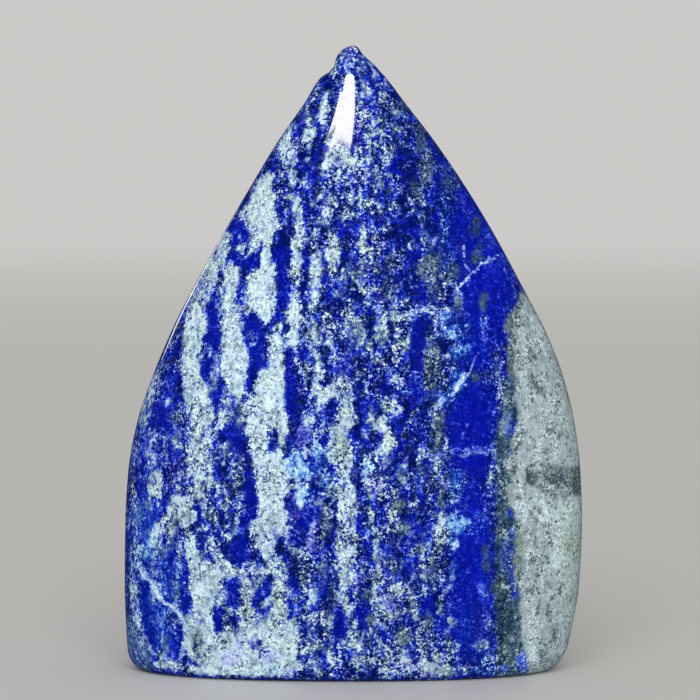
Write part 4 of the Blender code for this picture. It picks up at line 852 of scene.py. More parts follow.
# Darker and lighter marks in the marble and in the band, as (change of tone, then places as above): the
# dark smear with its pale threads, the black dots, and pale and dark clouds.
MARBLE_MARKS = (
    (0.14, (562, 512, 8), (563, 575, 8)), (0.12, (535, 322, 6), (546, 352, 6)),
    (0.1, (540, 504, 8), (541, 516, 8)), (-0.5, (543, 340, 1.5)), (-0.4, (531, 338, 1.2)),
    (-0.5, (529, 350, 1.3)), (-0.4, (532, 356, 1.4)), (-0.4, (520, 354, 1.2), (521, 360, 1.2)),
    (-0.5, (534, 357, 1.3)), (-0.4, (544, 358, 1.3)), (-0.4, (549, 354, 1.2)), (-0.4, (521, 366, 1.4)),
    (-0.5, (530, 360, 1.3)), (-0.5, (557, 394, 1.6)), (-0.4, (557, 402, 1.4)), (-0.5, (537, 405, 1.5)),
    (-0.5, (530, 408, 1.3)), (-0.5, (535, 417, 1.5)), (-0.5, (556, 427, 1.5), (551, 429, 1.2)),
    (-0.4, (532, 427, 1.2)), (-0.5, (526, 434, 1.5)), (-0.5, (562, 433, 1.5), (559, 437, 1.3)),
    (-0.25, (530, 378, 4), (540, 388, 4)), (-0.5, (524, 433, 1.4)), (-0.5, (534, 441, 1.4)),
    (-0.5, (524, 444, 1.4), (517, 450, 1.2)), (-0.5, (528, 449, 1.4)), (-0.5, (514, 470, 1.5)),
    (-0.6, (518, 498, 2.2)), (-0.4, (526, 456, 1.3)), (-0.5, (545, 452, 1.4)), (-0.5, (571, 453, 1.4)),
    (-0.34, (531, 485, 1.4), (527, 478, 2), (527, 469, 2), (532, 464, 1.6), (540, 464, 1.4)),
    (-0.34, (540, 464, 1.4), (548, 469, 1.6), (558, 467, 1.6), (569, 468, 1.6), (602, 466, 1.6)),
    (-0.36, (531, 475, 6), (537, 479, 9), (548, 481, 11), (562, 480, 11), (602, 479, 9)),
    (-0.12, (552, 478, 6), (562, 478, 6)),
    (-0.36, (544, 492, 1.6), (556, 496, 2), (569, 494, 2), (602, 493, 2)),
    (-0.2, (576, 468, 3), (577, 494, 3)), (0.36, (538, 466, 1.1), (541, 473, 1.2), (538, 482, 1.1)),
    (0.3, (546, 486, 2.2), (553, 488, 2.2)), (0.3, (560, 489, 1.8), (567, 488, 1.8)),
    (0.25, (546, 474, 1.2), (556, 473, 1.2)), (-0.5, (537, 509, 1.5)),
    (-0.5, (531, 514, 1.2), (536, 522, 1.4)), (-0.5, (540, 522, 1.4)), (-0.5, (545, 524, 1.4)),
    (-0.45, (532, 528, 1.3), (537, 548, 1.3)), (-0.5, (526, 530, 1.4)), (-0.5, (543, 542, 1.3)),
    (-0.4, (525, 545, 1.3)), (-0.5, (556, 537, 1.4)), (-0.6, (548, 559, 2.2)),
    (-0.45, (524, 560, 1.5), (534, 563, 2)), (-0.5, (557, 572, 1.5)), (-0.5, (537, 576, 1.6)),
    (-0.4, (568, 543, 1.4), (569, 553, 1.4)), (-0.4, (574, 556, 1.3)), (-0.4, (567, 569, 1.4)),
    (0.2, (543, 505, 4), (543, 520, 4)), (0.2, (555, 556, 4), (555, 569, 4)), (-0.5, (548, 584, 2)),
    (-0.5, (530, 590, 1.5), (527, 592, 1.5)), (-0.5, (533, 586, 1.3)),
    (-0.45, (538, 602, 1.5), (537, 613, 1.4)), (-0.5, (553, 598, 1.5)),
    (-0.4, (548, 606, 1.8), (549, 621, 2)), (-0.4, (553, 628, 2), (556, 632, 2.5), (554, 638, 1.6)),
    (-0.4, (532, 639, 1.4)), (-0.4, (536, 644, 1.4)),
    (0.2, (533, 628, 3), (532, 642, 3.5), (532, 660, 3.5)), (-0.25, (541, 652, 4), (546, 660, 4)),
    (0.15, (517, 494, 4), (519, 500, 4)), (-0.2, (546, 643, 6)), (-0.3, (565, 640, 1.2)),
    (-0.3, (519, 300, 3), (515, 318, 3)), (-0.3, (508, 312, 5), (508, 330, 5)),
    (-0.32, (510, 334, 3), (511, 360, 4), (513, 384, 4)),
    (0.09, (545, 420, 30), (548, 560, 34), (545, 640, 30)), (-0.25, (518, 522, 4), (519, 580, 4)),
)
BAND_MARKS = (
    (0.03, (508, 606, 8)), (0.12, (510, 640, 7), (510, 655, 7)), (0.04, (503, 556, 5), (502, 590, 5)),
    (-0.1, (513, 548, 4), (513, 580, 4)), (0.1, (505, 502, 6), (505, 522, 6)),
    (0.08, (503, 366, 6), (504, 400, 7), (502, 440, 6)), (0.15, (503, 500, 7), (503, 514, 6)),
    (-0.3, (513, 408, 3), (514, 418, 3), (512, 430, 3)),
    (-0.2, (503, 446, 6), (504, 476, 6), (503, 500, 6)), (-0.08, (506, 540, 9), (506, 640, 9)),
    (0.25, (490, 380, 6), (500, 400, 6)), (0.35, (505, 462, 7), (502, 468, 5)), (0.35, (506, 482, 4)),
    (-0.25, (502, 510, 6), (506, 522, 7)), (0.3, (503, 531, 2), (504, 538, 2)),
    (-0.3, (497, 545, 2), (498, 578, 2)), (-0.2, (510, 620, 3)), (-0.3, (506, 628, 3)),
    (0.5, (511, 638, 1.3)), (0.3, (515, 630, 1.3)), (0.3, (505, 652, 1.3)), (0.6, (503, 587, 1.4)),
    (0.4, (506, 666, 1.3)), (-0.3, (500, 640, 3), (498, 600, 3)),
)

# Soft patches again: bluer places in the slate, the greenish edges of the marble and the band, and painted
# greenish shade along the right rim.
BAND_BLUES = (
    (0.35, 136, 645, 14, 30), (0.3, 512, 356, 5, 30), (0.7, 513, 454, 4, 4), (0.6, 511, 513, 5, 4),
    (0.5, 512, 533, 4, 6), (0.35, 508, 556, 7, 18), (0.4, 513, 580, 3, 20), (0.6, 514, 594, 4, 6),
    (0.9, 523, 662, 6, 10), (0.8, 503, 669, 5, 4), (0.6, 514, 428, 3, 7), (0.4, 508, 426, 4, 12),
)
GREENISH_EDGES_AND_RIM_SHADE = (
    # Painted shade: the patches at columns 568 to 574, here and on the next line, are a darker greenish
    # tone where the right rim turns away from the light.
    (0.8, 517, 306, 5, 14), (0.8, 519, 550, 4, 32), (0.7, 570, 545, 9, 42), (0.6, 568, 400, 7, 40),
    (0.6, 568, 590, 8, 30), (0.7, 574, 480, 5, 16), (0.6, 506, 482, 6, 6), (0.6, 503, 534, 5, 7),
    (0.7, 498, 587, 9, 9), (0.5, 506, 620, 9, 40),
)

# The fields that are soft patches only, by the name that the material reads.
PATCH_FIELDS = {
    "olive": OLIVE_TINTS,
    "cyan": CYAN_TINTS,
    "violet": VIOLET_TINTS,
    "royal": ROYAL_TINTS,
    "band_blue": BAND_BLUES,
    "greenish": GREENISH_EDGES_AND_RIM_SHADE,
}

# How soft a marking's edge is, in pixels, and how far outwards it spills for each unit of paleness above
# the middle one. A place counts as at most FAR_PIXELS outside a marking.
EDGE_PIXELS = 2.8
VEIN_EDGE_PIXELS = 1.5
SPILL = 1.4
SPILL_MIDDLE = 0.3
FAR_PIXELS = 9.0

# A soft patch fades from full to nothing between these shares of its half width and half height.
PATCH_FULL = 0.55
PATCH_END = 1.45

# The edges are ragged: small clouds shake each place by up to this many pixels. Each is (size in
# millimetres, seed, share).
RAGGED_PIXELS = 1.8
COLUMN_CLOUDS = ((0.9, 3, 1.0), (2.6, 4, 0.6))
ROW_CLOUDS = ((1.3, 5, 1.0), (3.6, 6, 0.6))
CLOUD_CELLS = 32
CLOUD_SHIFT = 500.0

# How the pattern runs on towards the back, in millimetres: behind the silhouette the bands lean aside by
# LEAN for each one back, and from SHAKE_START on, over SHAKE_DEPTH, the places are shaken by up to about
# SHAKE by large clouds, (size, seed, share).
LEAN = 0.9
SHAKE = 4.0
SHAKE_START = -5.0
SHAKE_DEPTH = 20.0
SHAKE_COLUMN = (9.0, 1, 0.6)
SHAKE_ROW = (11.0, 2, 1.5)

# The paleness of plain blue and of the palest marking, and the tone of plain marble and plain slate.
BLUE_LEVEL = 0.12
PALEST_LEVEL = 0.8
PLAIN_TONE = 0.5


def smooth(x):
    """0 up to x = 0, 1 from x = 1, and a smooth step between."""
    x = np.clip(x, 0.0, 1.0)
    return x * x * (3.0 - 2.0 * x)


def along_streak(column, row, points, spill=0.0, edge=EDGE_PIXELS):
    """1 inside a streak, 0 outside it and soft at its edge, which spill moves outwards."""
    best = np.full(column.shape, -FAR_PIXELS)
    for (ax, ay, aw), (bx, by, bw) in zip(points, points[1:] + points[-1:]):
        dx = bx - ax
        dy = by - ay
        length = max(dx * dx + dy * dy, 1e-9)
        t = np.clip(((column - ax) * dx + (row - ay) * dy) / length, 0.0, 1.0)
        away = np.hypot(column - ax - t * dx, row - ay - t * dy)
        best = np.maximum(best, aw + t * (bw - aw) - away)
    return smooth(0.5 + 0.5 * (best + spill) / edge)


def cloud(points, size, seed):
    """Smooth random values between -1 and 1 in space, with features of about size."""
    lattice = np.random.default_rng(seed).uniform(-1.0, 1.0, (CLOUD_CELLS,) * 3)
    place = points / size + CLOUD_SHIFT
    cell = np.floor(place).astype(int)
    part = smooth(place - cell)
    total = 0.0
    for i in (0, 1):
        for j in (0, 1):
            for k in (0, 1):
                a, b, c = ((cell + (i, j, k)) % CLOUD_CELLS).T
                share = np.prod(np.where((i, j, k), part, 1.0 - part), axis=1)
                total = total + lattice[a, b, c] * share
    return total


def clouds(points, *layers):
    """Several clouds together, each (size, seed, share)."""
    return sum(share * cloud(points, size, seed) for size, seed, share in layers)


def pattern_places(points):
    """The column and row at which each point reads the pattern."""
    column, row = to_pixels(points)
    pixels = FOCAL_PIXELS / CAMERA_DISTANCE
    x, y, z = points.T
    behind = np.maximum(y, 0.0)
    lean = LEAN * behind * RIGHT(z) / RIGHT_REACH * pixels
    shake = SHAKE * smooth((y - SHAKE_START) / SHAKE_DEPTH) * pixels
    column = column + lean + shake * clouds(points, SHAKE_COLUMN)
    row = row + shake * clouds(points, SHAKE_ROW)
    column = column + RAGGED_PIXELS * clouds(points, *COLUMN_CLOUDS)
    row = row + RAGGED_PIXELS * clouds(points, *ROW_CLOUDS)
    return column, row


def patches(column, row, table):
    """The strongest of a table's soft patches at each place."""
    best = np.zeros(column.shape)
    for amount, cx, cy, rx, ry in table:
        away = np.hypot((column - cx) / rx, (row - cy) / ry)
        best = np.maximum(best, amount * smooth((PATCH_END - away) / (PATCH_END - PATCH_FULL)))
    return best


def pale_field(column, row):
    """From the deepest blue, 0, up to the white calcite: each marking is laid over those before it, and a
    few are painted highlight and painted sheen along the base's rim and the right edge.
    """
    field = np.maximum(BLUE_LEVEL, patches(column, row, SPECKLED_AND_SHEEN))
    field = field * (1.0 - patches(column, row, DEEP_BLUE))
    for paleness, *points in MARKINGS:
        share = along_streak(column, row, points, SPILL * (paleness - SPILL_MIDDLE))
        field = field + (PALEST_LEVEL * paleness - field) * share
    return field


def vein_field(column, row):
    field = np.zeros(column.shape)
    for strength, *points in VEINS:
        field = np.maximum(field, strength * along_streak(column, row, points, edge=VEIN_EDGE_PIXELS))
    return field


def tone_field(column, row, marks):
    """The plain tone with every mark's change added to it."""
    field = np.full(column.shape, PLAIN_TONE)
    for change, *points in marks:
        field = field + change * along_streak(column, row, points)
    return field


def right_of(column, row, edge, softness):
    """1 to the right of an edge and 0 to its left."""
    columns, rows = zip(*edge)
    return smooth(0.5 + 0.5 * (column - np.interp(row, rows, columns)) / softness)


def below(row, start, end):
    """0 above the row start, 1 below the row end and a smooth step between."""
    return smooth((row - start) / (end - start))


def add_field(mesh, name, values):
    layer = mesh.attributes.new(name, "FLOAT", "POINT")
    layer.data.foreach_set("value", values.astype(np.float32))


def add_fields(mesh, points):
    """Every table of markings as a named value at each point of the mesh."""
    column, row = pattern_places(points)
    marble = right_of(column, row, MARBLE_EDGE, STONE_EDGE_PIXELS) * below(row, *MARBLE_START)
    band = right_of(column, row, BAND_EDGE, STONE_EDGE_PIXELS) * below(row, *BAND_START)
    corner = 1.0 - right_of(column, row, CORNER_EDGE, CORNER_EDGE_PIXELS)
    add_field(mesh, "pale", pale_field(column, row))
    add_field(mesh, "vein", vein_field(column, row))
    add_field(mesh, "marble", marble)
    add_field(mesh, "marble_tone", tone_field(column, row, MARBLE_MARKS))
    add_field(mesh, "band", np.maximum(band, corner * below(row, *CORNER_START)))
    add_field(mesh, "band_tone", tone_field(column, row, BAND_MARKS))
    for name, table in PATCH_FIELDS.items():
        add_field(mesh, name, patches(column, row, table))


# ---------------------------------------------------------------- material

class Nodes:
    """Short forms for adding nodes to one tree."""

    def __init__(self, tree):
        self.tree = tree

    def put(self, socket, value):
        """Link another node's output to the socket, or set the socket to a value."""
        if isinstance(value, bpy.types.NodeSocket):
            self.tree.links.new(value, socket)
        elif value is not None:
            socket.default_value = value

    def math(self, operation, a, b=None, c=None):
        node = self.tree.nodes.new("ShaderNodeMath")
        node.operation = operation
        for socket, value in zip(node.inputs, (a, b, c)):
            self.put(socket, value)
        return node.outputs[0]

    def times(self, a, b):
        return self.math("MULTIPLY", a, b)

    def add_part(self, total, value, centre, share):
        """total + (value - centre) * share."""
        return self.math("MULTIPLY_ADD", self.math("SUBTRACT", value, centre), share, total)

    def span(self, value, low, high, out_low=0.0, out_high=1.0):
        """A smooth step from out_low, where value is low, to out_high, where it is high."""
        node = self.tree.nodes.new("ShaderNodeMapRange")
        node.interpolation_type = "SMOOTHSTEP"
        for socket, item in zip(node.inputs, (value, low, high, out_low, out_high)):
            self.put(socket, item)
        return node.outputs[0]

    def mix(self, share, a, b, blend="MIX"):
        node = self.tree.nodes.new("ShaderNodeMix")
        node.data_type = "RGBA"
        node.blend_type = blend
        self.put(node.inputs["Factor"], share)
        colour_inputs = [s for s in node.inputs if s.type == "RGBA"]
        self.put(colour_inputs[0], a)
        self.put(colour_inputs[1], b)
        return [s for s in node.outputs if s.type == "RGBA"][0]

    def ramp(self, value, stops):
        """Colours, as screen values, along the line from 0 to 1."""
        node = self.tree.nodes.new("ShaderNodeValToRGB")
        self.put(node.inputs[0], value)
        elements = node.color_ramp.elements
        for place, colour in stops[1:-1]:
            elements.new(place).color = srgb(*colour)
        elements[0].color = srgb(*stops[0][1])
        elements[-1].color = srgb(*stops[-1][1])
        return node.outputs["Color"]

    def field(self, name):
        """One of the mesh's fields."""
        node = self.tree.nodes.new("ShaderNodeAttribute")
        node.attribute_name = name
        return node.outputs["Fac"]

    def place(self, rise=1.0, shift=0.0):
        """Position in millimetres, with the height multiplied by rise, then all of it moved by shift.

        Under 1, rise draws the grains and clouds out upwards, as the bands are.
        """
        where = self.tree.nodes.new("ShaderNodeTexCoord").outputs["Object"]
        node = self.tree.nodes.new("ShaderNodeVectorMath")
        node.operation = "MULTIPLY_ADD"
        self.put(node.inputs[0], where)
        node.inputs[1].default_value = (1.0 / MM, 1.0 / MM, rise / MM)
        node.inputs[2].default_value = (shift, shift, shift)
        return node.outputs[0]

    def noise(self, where, size, detail=2.0, roughness=0.5):
        """Cloudy noise whose largest features are about size millimetres."""
        node = self.tree.nodes.new("ShaderNodeTexNoise")
        self.put(node.inputs["Vector"], where)
        node.inputs["Scale"].default_value = 1.0 / size
        node.inputs["Detail"].default_value = detail
        node.inputs["Roughness"].default_value = roughness
        return node.outputs["Fac"]

    def grains(self, where, size):
        """Random numbers, three of them, that are constant inside each grain of about size millimetres."""
        node = self.tree.nodes.new("ShaderNodeTexVoronoi")
        self.put(node.inputs["Vector"], where)
        node.inputs["Scale"].default_value = 1.0 / size
        split = self.tree.nodes.new("ShaderNodeSeparateColor")
        self.tree.links.new(node.outputs["Color"], split.inputs[0])
        return split.outputs[0], split.outputs[1], split.outputs[2]


def srgb(r, g, b):
    """A colour from its screen values."""
    def linear(v):
        v = v / 255.0
        return v / 12.92 if v <= 0.04045 else ((v + 0.055) / 1.055) ** 2.4
    return (linear(r), linear(g), linear(b), 1.0)


# The colours of each kind of rock along its levels, as (level, screen colour): the deeper and the even
# royal blue, the white calcite, the tints, the veins, the marble and the slate.
CENTRE_RAMP = (
    (0.00, (0, 8, 82)), (0.12, (2, 16, 106)), (0.27, (20, 41, 138)), (0.42, (50, 75, 168)),
    (0.58, (90, 118, 200)), (0.72, (131, 159, 216)), (0.88, (181, 208, 236)), (1.00, (226, 250, 255)),
)
ROYAL_RAMP = (
    (0.00, (2, 13, 148)), (0.12, (7, 26, 177)), (0.25, (21, 45, 200)), (0.40, (47, 75, 221)),
    (0.60, (88, 120, 232)), (0.78, (130, 164, 240)), (1.00, (186, 220, 252)),
)
PALE_RAMP = (
    (0.00, (14, 28, 78)), (0.20, (52, 74, 110)), (0.40, (102, 126, 153)), (0.55, (136, 160, 187)),
    (0.70, (167, 193, 219)), (0.85, (198, 226, 245)), (1.00, (226, 249, 254)),
)
OLIVE_RAMP = (
    (0.00, (4, 18, 50)), (0.15, (24, 44, 76)), (0.30, (54, 76, 100)), (0.45, (88, 112, 124)),
    (0.60, (121, 146, 150)), (0.78, (160, 185, 189)), (1.00, (222, 245, 238)),
)
CYAN_RAMP = (
    (0.00, (4, 28, 130)), (0.20, (22, 66, 168)), (0.40, (56, 110, 208)), (0.60, (96, 156, 230)),
    (0.80, (144, 200, 246)), (1.00, (210, 248, 255)),
)
VIOLET_RAMP = (
    (0.00, (14, 14, 122)), (0.20, (44, 50, 160)), (0.40, (80, 88, 192)), (0.60, (116, 126, 214)),
    (0.80, (154, 166, 232)), (1.00, (206, 216, 252)),
)
VEIN_RAMP = (
    (0.00, (20, 34, 172)), (0.30, (66, 88, 206)), (0.50, (104, 130, 218)), (0.70, (146, 178, 228)),
    (0.85, (178, 212, 236)), (1.00, (222, 244, 250)),
)
MARBLE_RAMP = (
    (0.00, (60, 78, 88)), (0.20, (97, 115, 124)), (0.38, (137, 155, 162)), (0.52, (157, 174, 179)),
    (0.70, (177, 197, 207)), (1.00, (218, 239, 248)),
)
BAND_RAMP = (
    (0.00, (10, 30, 66)), (0.22, (32, 56, 84)), (0.45, (48, 73, 99)), (0.62, (75, 100, 123)),
    (0.80, (116, 141, 158)), (1.00, (172, 196, 206)),
)

# What the greenish edges, and the painted shade along the right rim, are multiplied by.
GREENISH = (0.94, 1.0, 0.80, 1.0)

# The polish: its roughness between the glossiest and the dullest grain, and its index of refraction.
ROUGHNESS = (0.035, 0.075)
IOR = 1.5

# The sizes of the grains, and of the clouds among them, in millimetres.
DUST = 0.21
GRAIN = 0.44
CRYSTAL = 0.8
FINEST_CLOUD = 0.36
PIT_CLOUD = 0.6
FRAY_CLOUD = 0.8
FINE_CLOUD = 0.95
TINGE_CLOUD = 1.1
TINGE_TWO_CLOUD = 1.6
TINGE_THREE_CLOUD = 2.2
ISLAND_CLOUD = 2.0
RAGGED_CLOUD = 2.4
GATE_CLOUD = 2.6

# The rare grains, picked by a grain's random number, and how far each kind moves a place along its ramp,
# as the dark pepper and the olive rock do too.
SPARK_ABOVE, SPARK = 0.955, 0.36
FLECK_ABOVE, FLECK = 0.88, 0.24
SPECK_BELOW, SPECK = 0.035, -0.42
DOT_BELOW, DOT = 0.042, -0.55
PEPPER = -0.36
OLIVE_LIFT = 0.2

# The paleness from which (first) and at which (second) each kind of rock or grain is there in full.
PALE_ROCK = (0.4, 0.7)
MOTTLED_FROM = (0.18, 0.35)
MOTTLED_UP_TO = (0.8, 0.55)
PEPPER_FROM = (0.3, 0.6)
SPECKS_FROM = (0.45, 0.65)
FLECKS_UP_TO = (0.36, 0.2)
OLIVE_UP_TO = (0.35, 0.1)
CRYSTALS_FROM = (0.16, 0.3)
VIOLET_UP_TO = (0.75, 0.6)


def make_grain(n):
    """The random grains and clouds that the whole stone shares, each from 0 to 1."""
    here = n.place()
    rising = n.place(0.42)
    aside = n.place(0.7, 37.0)
    g = SimpleNamespace()
    g.dust = n.grains(here, DUST)[0]
    g.one, g.two, g.three = n.grains(here, GRAIN)
    g.crystal, g.hue, g.facet = n.grains(rising, CRYSTAL)
    g.finest = n.noise(here, FINEST_CLOUD, detail=1.0, roughness=0.6)
    g.fine = n.noise(here, FINE_CLOUD, detail=2.0, roughness=0.6)
    g.ragged = n.noise(rising, RAGGED_CLOUD, detail=2.0, roughness=0.55)
    g.tinge = n.noise(aside, TINGE_CLOUD, detail=2.0, roughness=0.6)
    g.tinge_two = n.noise(n.place(shift=81.0), TINGE_TWO_CLOUD, detail=2.0, roughness=0.6)
    g.tinge_three = n.noise(n.place(0.6, 53.0), TINGE_THREE_CLOUD, detail=2.0, roughness=0.6)

    # the gate makes the grain stronger in some places than in others
    g.gate = n.span(n.noise(aside, GATE_CLOUD, detail=1.0, roughness=0.5), 0.36, 0.64, 0.5, 1.5)

    # sums of them, centred on 0: the small grain and the middling one
    g.small = n.times(n.math("SUBTRACT", g.finest, 0.5), 2.6)
    g.small = n.add_part(g.small, g.one, 0.5, 0.8)
    g.small = n.add_part(g.small, g.dust, 0.5, 0.8)
    g.small = n.times(g.small, g.gate)
    g.middling = n.times(n.math("SUBTRACT", g.fine, 0.5), 1.7)
    g.middling = n.add_part(g.middling, g.ragged, 0.5, 0.9)
    g.middling = n.add_part(g.middling, g.crystal, 0.5, 0.45)
    return g


def frayed_pale(n):
    """The field of paleness, whose edges small and middling clouds fray and leave islands in."""
    marked = n.field("pale")
    mingled = n.times(marked, n.math("SUBTRACT", 1.0, marked))
    mingled = n.times(mingled, mingled)
    small_clouds = n.noise(n.place(0.8, 23.0), FRAY_CLOUD, detail=2.0, roughness=0.65)
    islands = n.noise(n.place(0.5, 61.0), ISLAND_CLOUD, detail=1.0, roughness=0.5)
    fray = n.times(n.math("SUBTRACT", small_clouds, 0.5), 24.0)
    fray = n.add_part(fray, islands, 0.5, 14.0)
    return n.math("MULTIPLY_ADD", fray, mingled, marked)


def grain_level(n, g, pale):
    """How far along its ramp each place is: its paleness, moved by the grain and by rare grains."""
    # even royal blue and olive are calmer
    calm = n.math("MULTIPLY_ADD", n.field("royal"), -0.45, 1.0)
    calm = n.math("MULTIPLY_ADD", n.field("olive"), -0.35, calm)

    # the grain moves a place most where blue and pale mingle, and least in clean stone
    blue_share = n.math("SUBTRACT", 1.0, pale)
    between = n.math("MAXIMUM", n.times(pale, n.times(blue_share, blue_share)), 0.0)
    spread = n.times(n.math("MULTIPLY_ADD", between, 3.7, 0.10), calm)
    level = n.math("MULTIPLY_ADD", g.middling, spread, pale)
    level = n.math("MULTIPLY_ADD", g.small, n.math("ADD", spread, 0.07), level)
    level = n.math("MULTIPLY_ADD", n.times(n.field("olive"), n.span(pale, *OLIVE_UP_TO)), OLIVE_LIFT, level)

    # bright sparks where the stone is mottled
    mottled = n.times(n.span(pale, *MOTTLED_FROM), n.span(pale, *MOTTLED_UP_TO))
    sparks = n.times(n.math("GREATER_THAN", g.two, SPARK_ABOVE), mottled)
    level = n.math("MULTIPLY_ADD", n.times(sparks, calm), SPARK, level)

    # dark pepper in tiny pits, and dark specks, where it is pale
    pits = n.span(n.noise(n.place(shift=13.0), PIT_CLOUD, detail=2.0, roughness=0.7), 0.37, 0.29)
    pepper = n.times(n.times(pits, g.gate), n.span(pale, *PEPPER_FROM))
    level = n.math("MULTIPLY_ADD", pepper, PEPPER, level)
    specks = n.times(n.math("LESS_THAN", g.three, SPECK_BELOW), n.span(pale, *SPECKS_FROM))
    level = n.math("MULTIPLY_ADD", specks, SPECK, level)

    # light flecks where it is blue
    flecks = n.times(n.math("GREATER_THAN", g.one, FLECK_ABOVE), n.span(g.tinge_two, 0.44, 0.56))
    flecks = n.times(n.times(flecks, calm), n.span(pale, *FLECKS_UP_TO))
    return n.math("MULTIPLY_ADD", flecks, FLECK, level)


def lapis_colour(n, g, pale, level):
    """Blue to white, and then the tints: each is its field, and stray clouds of it elsewhere."""
    royal = n.math("MAXIMUM", n.field("royal"), n.span(g.tinge_three, 0.45, 0.58, 0.0, 0.8))
    blue = n.mix(royal, n.ramp(level, CENTRE_RAMP), n.ramp(level, ROYAL_RAMP))
    lapis = n.mix(n.span(pale, *PALE_ROCK), blue, n.ramp(level, PALE_RAMP))

    stray = n.times(n.span(g.tinge, 0.52, 0.66), n.math("SUBTRACT", 0.75, n.times(n.field("royal"), 0.6)))
    olive = n.math("MAXIMUM", stray, n.times(n.field("olive"), n.span(g.tinge, 0.3, 0.5, 0.6, 1.0)))
    crystals = n.times(n.span(g.hue, 0.8, 0.84), n.span(pale, *CRYSTALS_FROM, 0.0, 0.7))
    lapis = n.mix(n.math("MAXIMUM", olive, crystals), lapis, n.ramp(level, OLIVE_RAMP))

    lapis = n.mix(n.field("cyan"), lapis, n.ramp(level, CYAN_RAMP))
    stray = n.times(n.span(g.tinge_two, 0.55, 0.68), n.span(pale, *VIOLET_UP_TO, 0.0, 0.5))
    return n.mix(n.math("MAXIMUM", stray, n.field("violet")), lapis, n.ramp(level, VIOLET_RAMP))


def with_veins(n, g, lapis):
    """Thin pale veins over the lapis, which the grain breaks up."""
    level = n.add_part(n.field("vein"), g.small, 0.0, 0.3)
    broken = n.times(n.field("vein"), n.span(g.fine, 0.38, 0.58, 0.3, 1.0))
    broken = n.add_part(broken, g.finest, 0.5, 0.5)
    return n.mix(n.span(broken, 0.16, 0.5), lapis, n.ramp(level, VEIN_RAMP))


def with_slate_and_marble(n, g, lapis):
    """The slate of the band and the corner over the lapis, and the black-dotted marble over both."""
    level = n.add_part(n.field("band_tone"), n.math("ADD", g.small, g.middling), 0.0, 0.44)
    slate = n.mix(n.field("band_blue"), n.ramp(level, BAND_RAMP), n.ramp(level, ROYAL_RAMP))
    colour = n.mix(n.field("band"), lapis, slate)

    level = n.add_part(n.field("marble_tone"), g.small, 0.0, 0.38)
    level = n.add_part(level, g.middling, 0.0, 0.32)
    dots = n.times(n.math("LESS_THAN", g.three, DOT_BELOW), n.span(g.facet, 0.3, 0.5))
    level = n.math("MULTIPLY_ADD", dots, DOT, level)
    colour = n.mix(n.field("marble"), colour, n.ramp(level, MARBLE_RAMP))
    # Then the greenish edges, with painted greenish shade along the right rim.
    return n.mix(n.field("greenish"), colour, GREENISH, "MULTIPLY")


def lapis_material():
    material = bpy.data.materials.new("polished_lapis")
    material.use_nodes = True
    tree = material.node_tree
    shader = tree.nodes["Principled BSDF"]
    n = Nodes(tree)
    g = make_grain(n)
    pale = frayed_pale(n)
    level = grain_level(n, g, pale)
    lapis = with_veins(n, g, lapis_colour(n, g, pale, level))
    n.put(shader.inputs["Base Color"], with_slate_and_marble(n, g, lapis))
    n.put(shader.inputs["Roughness"], n.span(g.fine, 0.3, 0.7, *ROUGHNESS))
    shader.inputs["IOR"].default_value = IOR
    return material


# ---------------------------------------------------------------- camera, light and floor

# The softboxes that show in the polish, as (name, place, aim, (width, height), power, roll in degrees):
# the long highlight below the nub, the small one on its left, and the thin line along the left edge.
SOFTBOXES = (
    ("tip_light", (-99, -456, 460), (-9, -7, 96), (181, 136), 1.95, -10.0),
    ("tip_light_left", (-220, -438, 451), (-130, 11, 87), (56, 42), 0.19, -10.0),
    ("edge_light", (-326, 512, 168), (-30, 0, 66), (169, 46), 0.08, 0.0),
)
SOFTBOX_COLOUR = (1.0, 1.0, 0.95)

# Broad soft daylight from the front, above, as its power and its angles in degrees.
DAYLIGHT_POWER = 1.85
DAYLIGHT_WIDTH = 60.0
DAYLIGHT_TILT = 60.0
DAYLIGHT_TURN = -2.0

# The studio's own colour, and the dimmer one that shows in the polish.
STUDIO_GREY = (0.60, 0.59, 0.575, 1.0)
MIRRORED_GREY = (0.03, 0.042, 0.05, 1.0)

# The floor's half width and the distances over which it fades, in metres.
FLOOR_REACH = 5.0
FLOOR_FADE = (0.5, 2.6)
FLOOR_COLOUR = (0.62, 0.61, 0.595, 1.0)
FLOOR_ROUGHNESS = 0.6


def make_camera():
    data = bpy.data.cameras.new("camera")
    data.sensor_width = SENSOR
    data.lens = FOCAL_PIXELS / FRAME_PIXELS * SENSOR
    camera = bpy.data.objects.new("camera", data)
    aside = (FRAME_PIXELS / 2 - AXIS_COLUMN) * CAMERA_DISTANCE / FOCAL_PIXELS
    camera.location = (aside * MM, -CAMERA_DISTANCE * MM, CAMERA_HEIGHT * MM)
    camera.rotation_euler = (math.radians(90.0 - CAMERA_DOWN_DEGREES), 0.0, 0.0)
    bpy.context.scene.collection.objects.link(camera)
    bpy.context.scene.camera = camera


def softbox(name, place, aim, size, power, roll):
    """An area light that only the polish reflects, pointing at aim and rolled about that line."""
    data = bpy.data.lights.new(name, "AREA")
    data.shape = "RECTANGLE"
    data.size = size[0] * MM
    data.size_y = size[1] * MM
    data.energy = power
    data.color = SOFTBOX_COLOUR
    light = bpy.data.objects.new(name, data)
    light.location = [part * MM for part in place]
    facing = Vector(aim) - Vector(place)
    turn = facing.to_track_quat("-Z", "Y") @ Quaternion((0.0, 0.0, 1.0), math.radians(roll))
    light.rotation_euler = turn.to_euler()
    light.visible_camera = False
    light.visible_diffuse = False
    bpy.context.scene.collection.objects.link(light)


def make_lights():
    for box in SOFTBOXES:
        softbox(*box)
    data = bpy.data.lights.new("daylight", "SUN")
    data.energy = DAYLIGHT_POWER
    data.angle = math.radians(DAYLIGHT_WIDTH)
    day = bpy.data.objects.new("daylight", data)
    day.rotation_euler = (math.radians(DAYLIGHT_TILT), 0.0, math.radians(DAYLIGHT_TURN))
    day.visible_glossy = False
    bpy.context.scene.collection.objects.link(day)


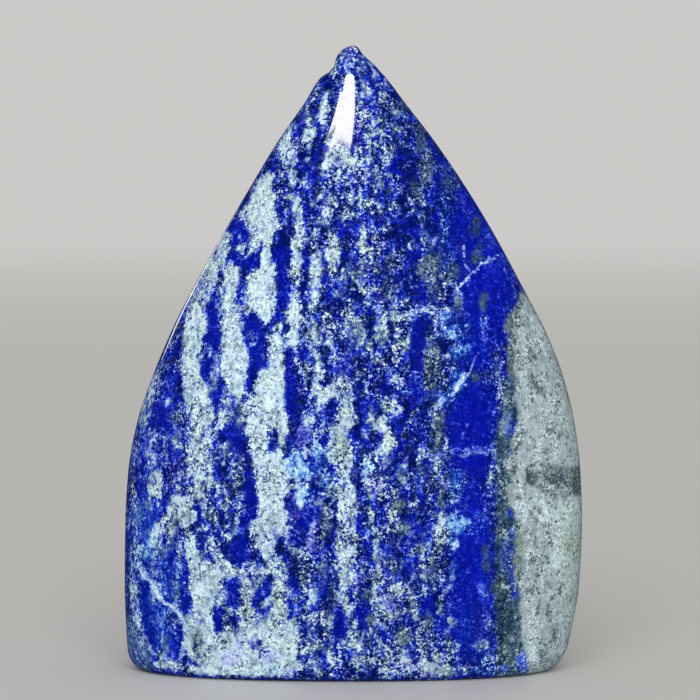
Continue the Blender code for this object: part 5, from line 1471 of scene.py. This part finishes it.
def make_world():
    world = bpy.data.worlds.new("studio")
    world.use_nodes = True
    tree = world.node_tree
    n = Nodes(tree)
    background = tree.nodes["Background"]
    rays = tree.nodes.new("ShaderNodeLightPath")
    n.put(background.inputs["Color"], n.mix(rays.outputs["Is Glossy Ray"], STUDIO_GREY, MIRRORED_GREY))
    background.inputs["Strength"].default_value = 1.0
    bpy.context.scene.world = world


def make_floor():
    """A pale floor that fades into the studio's own colour with distance, so that no horizon shows."""
    mesh = bpy.data.meshes.new("floor")
    r = FLOOR_REACH
    mesh.from_pydata([(-r, -r, 0), (r, -r, 0), (r, r, 0), (-r, r, 0)], [], [(0, 1, 2, 3)])
    floor = bpy.data.objects.new("floor", mesh)
    material = bpy.data.materials.new("pale_floor")
    material.use_nodes = True
    tree = material.node_tree
    shader = tree.nodes["Principled BSDF"]
    n = Nodes(tree)
    shader.inputs["Base Color"].default_value = FLOOR_COLOUR
    shader.inputs["Roughness"].default_value = FLOOR_ROUGHNESS
    far = tree.nodes.new("ShaderNodeEmission")
    far.inputs["Color"].default_value = STUDIO_GREY
    length = tree.nodes.new("ShaderNodeVectorMath")
    length.operation = "LENGTH"
    n.put(length.inputs[0], tree.nodes.new("ShaderNodeTexCoord").outputs["Object"])
    blend = tree.nodes.new("ShaderNodeMixShader")
    n.put(blend.inputs[0], n.span(length.outputs["Value"], *FLOOR_FADE))
    n.put(blend.inputs[1], shader.outputs[0])
    n.put(blend.inputs[2], far.outputs[0])
    n.put(tree.nodes["Material Output"].inputs["Surface"], blend.outputs[0])
    mesh.materials.append(material)
    bpy.context.scene.collection.objects.link(floor)
    floor.visible_glossy = False


# ---------------------------------------------------------------- the scene

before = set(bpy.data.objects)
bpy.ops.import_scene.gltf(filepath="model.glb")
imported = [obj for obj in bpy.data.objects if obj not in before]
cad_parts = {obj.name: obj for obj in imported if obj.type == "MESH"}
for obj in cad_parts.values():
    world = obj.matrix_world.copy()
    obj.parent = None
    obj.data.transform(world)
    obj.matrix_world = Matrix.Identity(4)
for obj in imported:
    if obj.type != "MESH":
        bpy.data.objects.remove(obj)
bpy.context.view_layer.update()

make_camera()
mesh, points = stone_mesh()
add_fields(mesh, points)
mesh.materials.append(lapis_material())
stone = bpy.data.objects.new("lapis_stone", mesh)
bpy.context.scene.collection.objects.link(stone)
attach(stone, "root")
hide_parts(NODE)
make_lights()
make_world()
make_floor()
bpy.context.scene.view_settings.view_transform = "Standard"
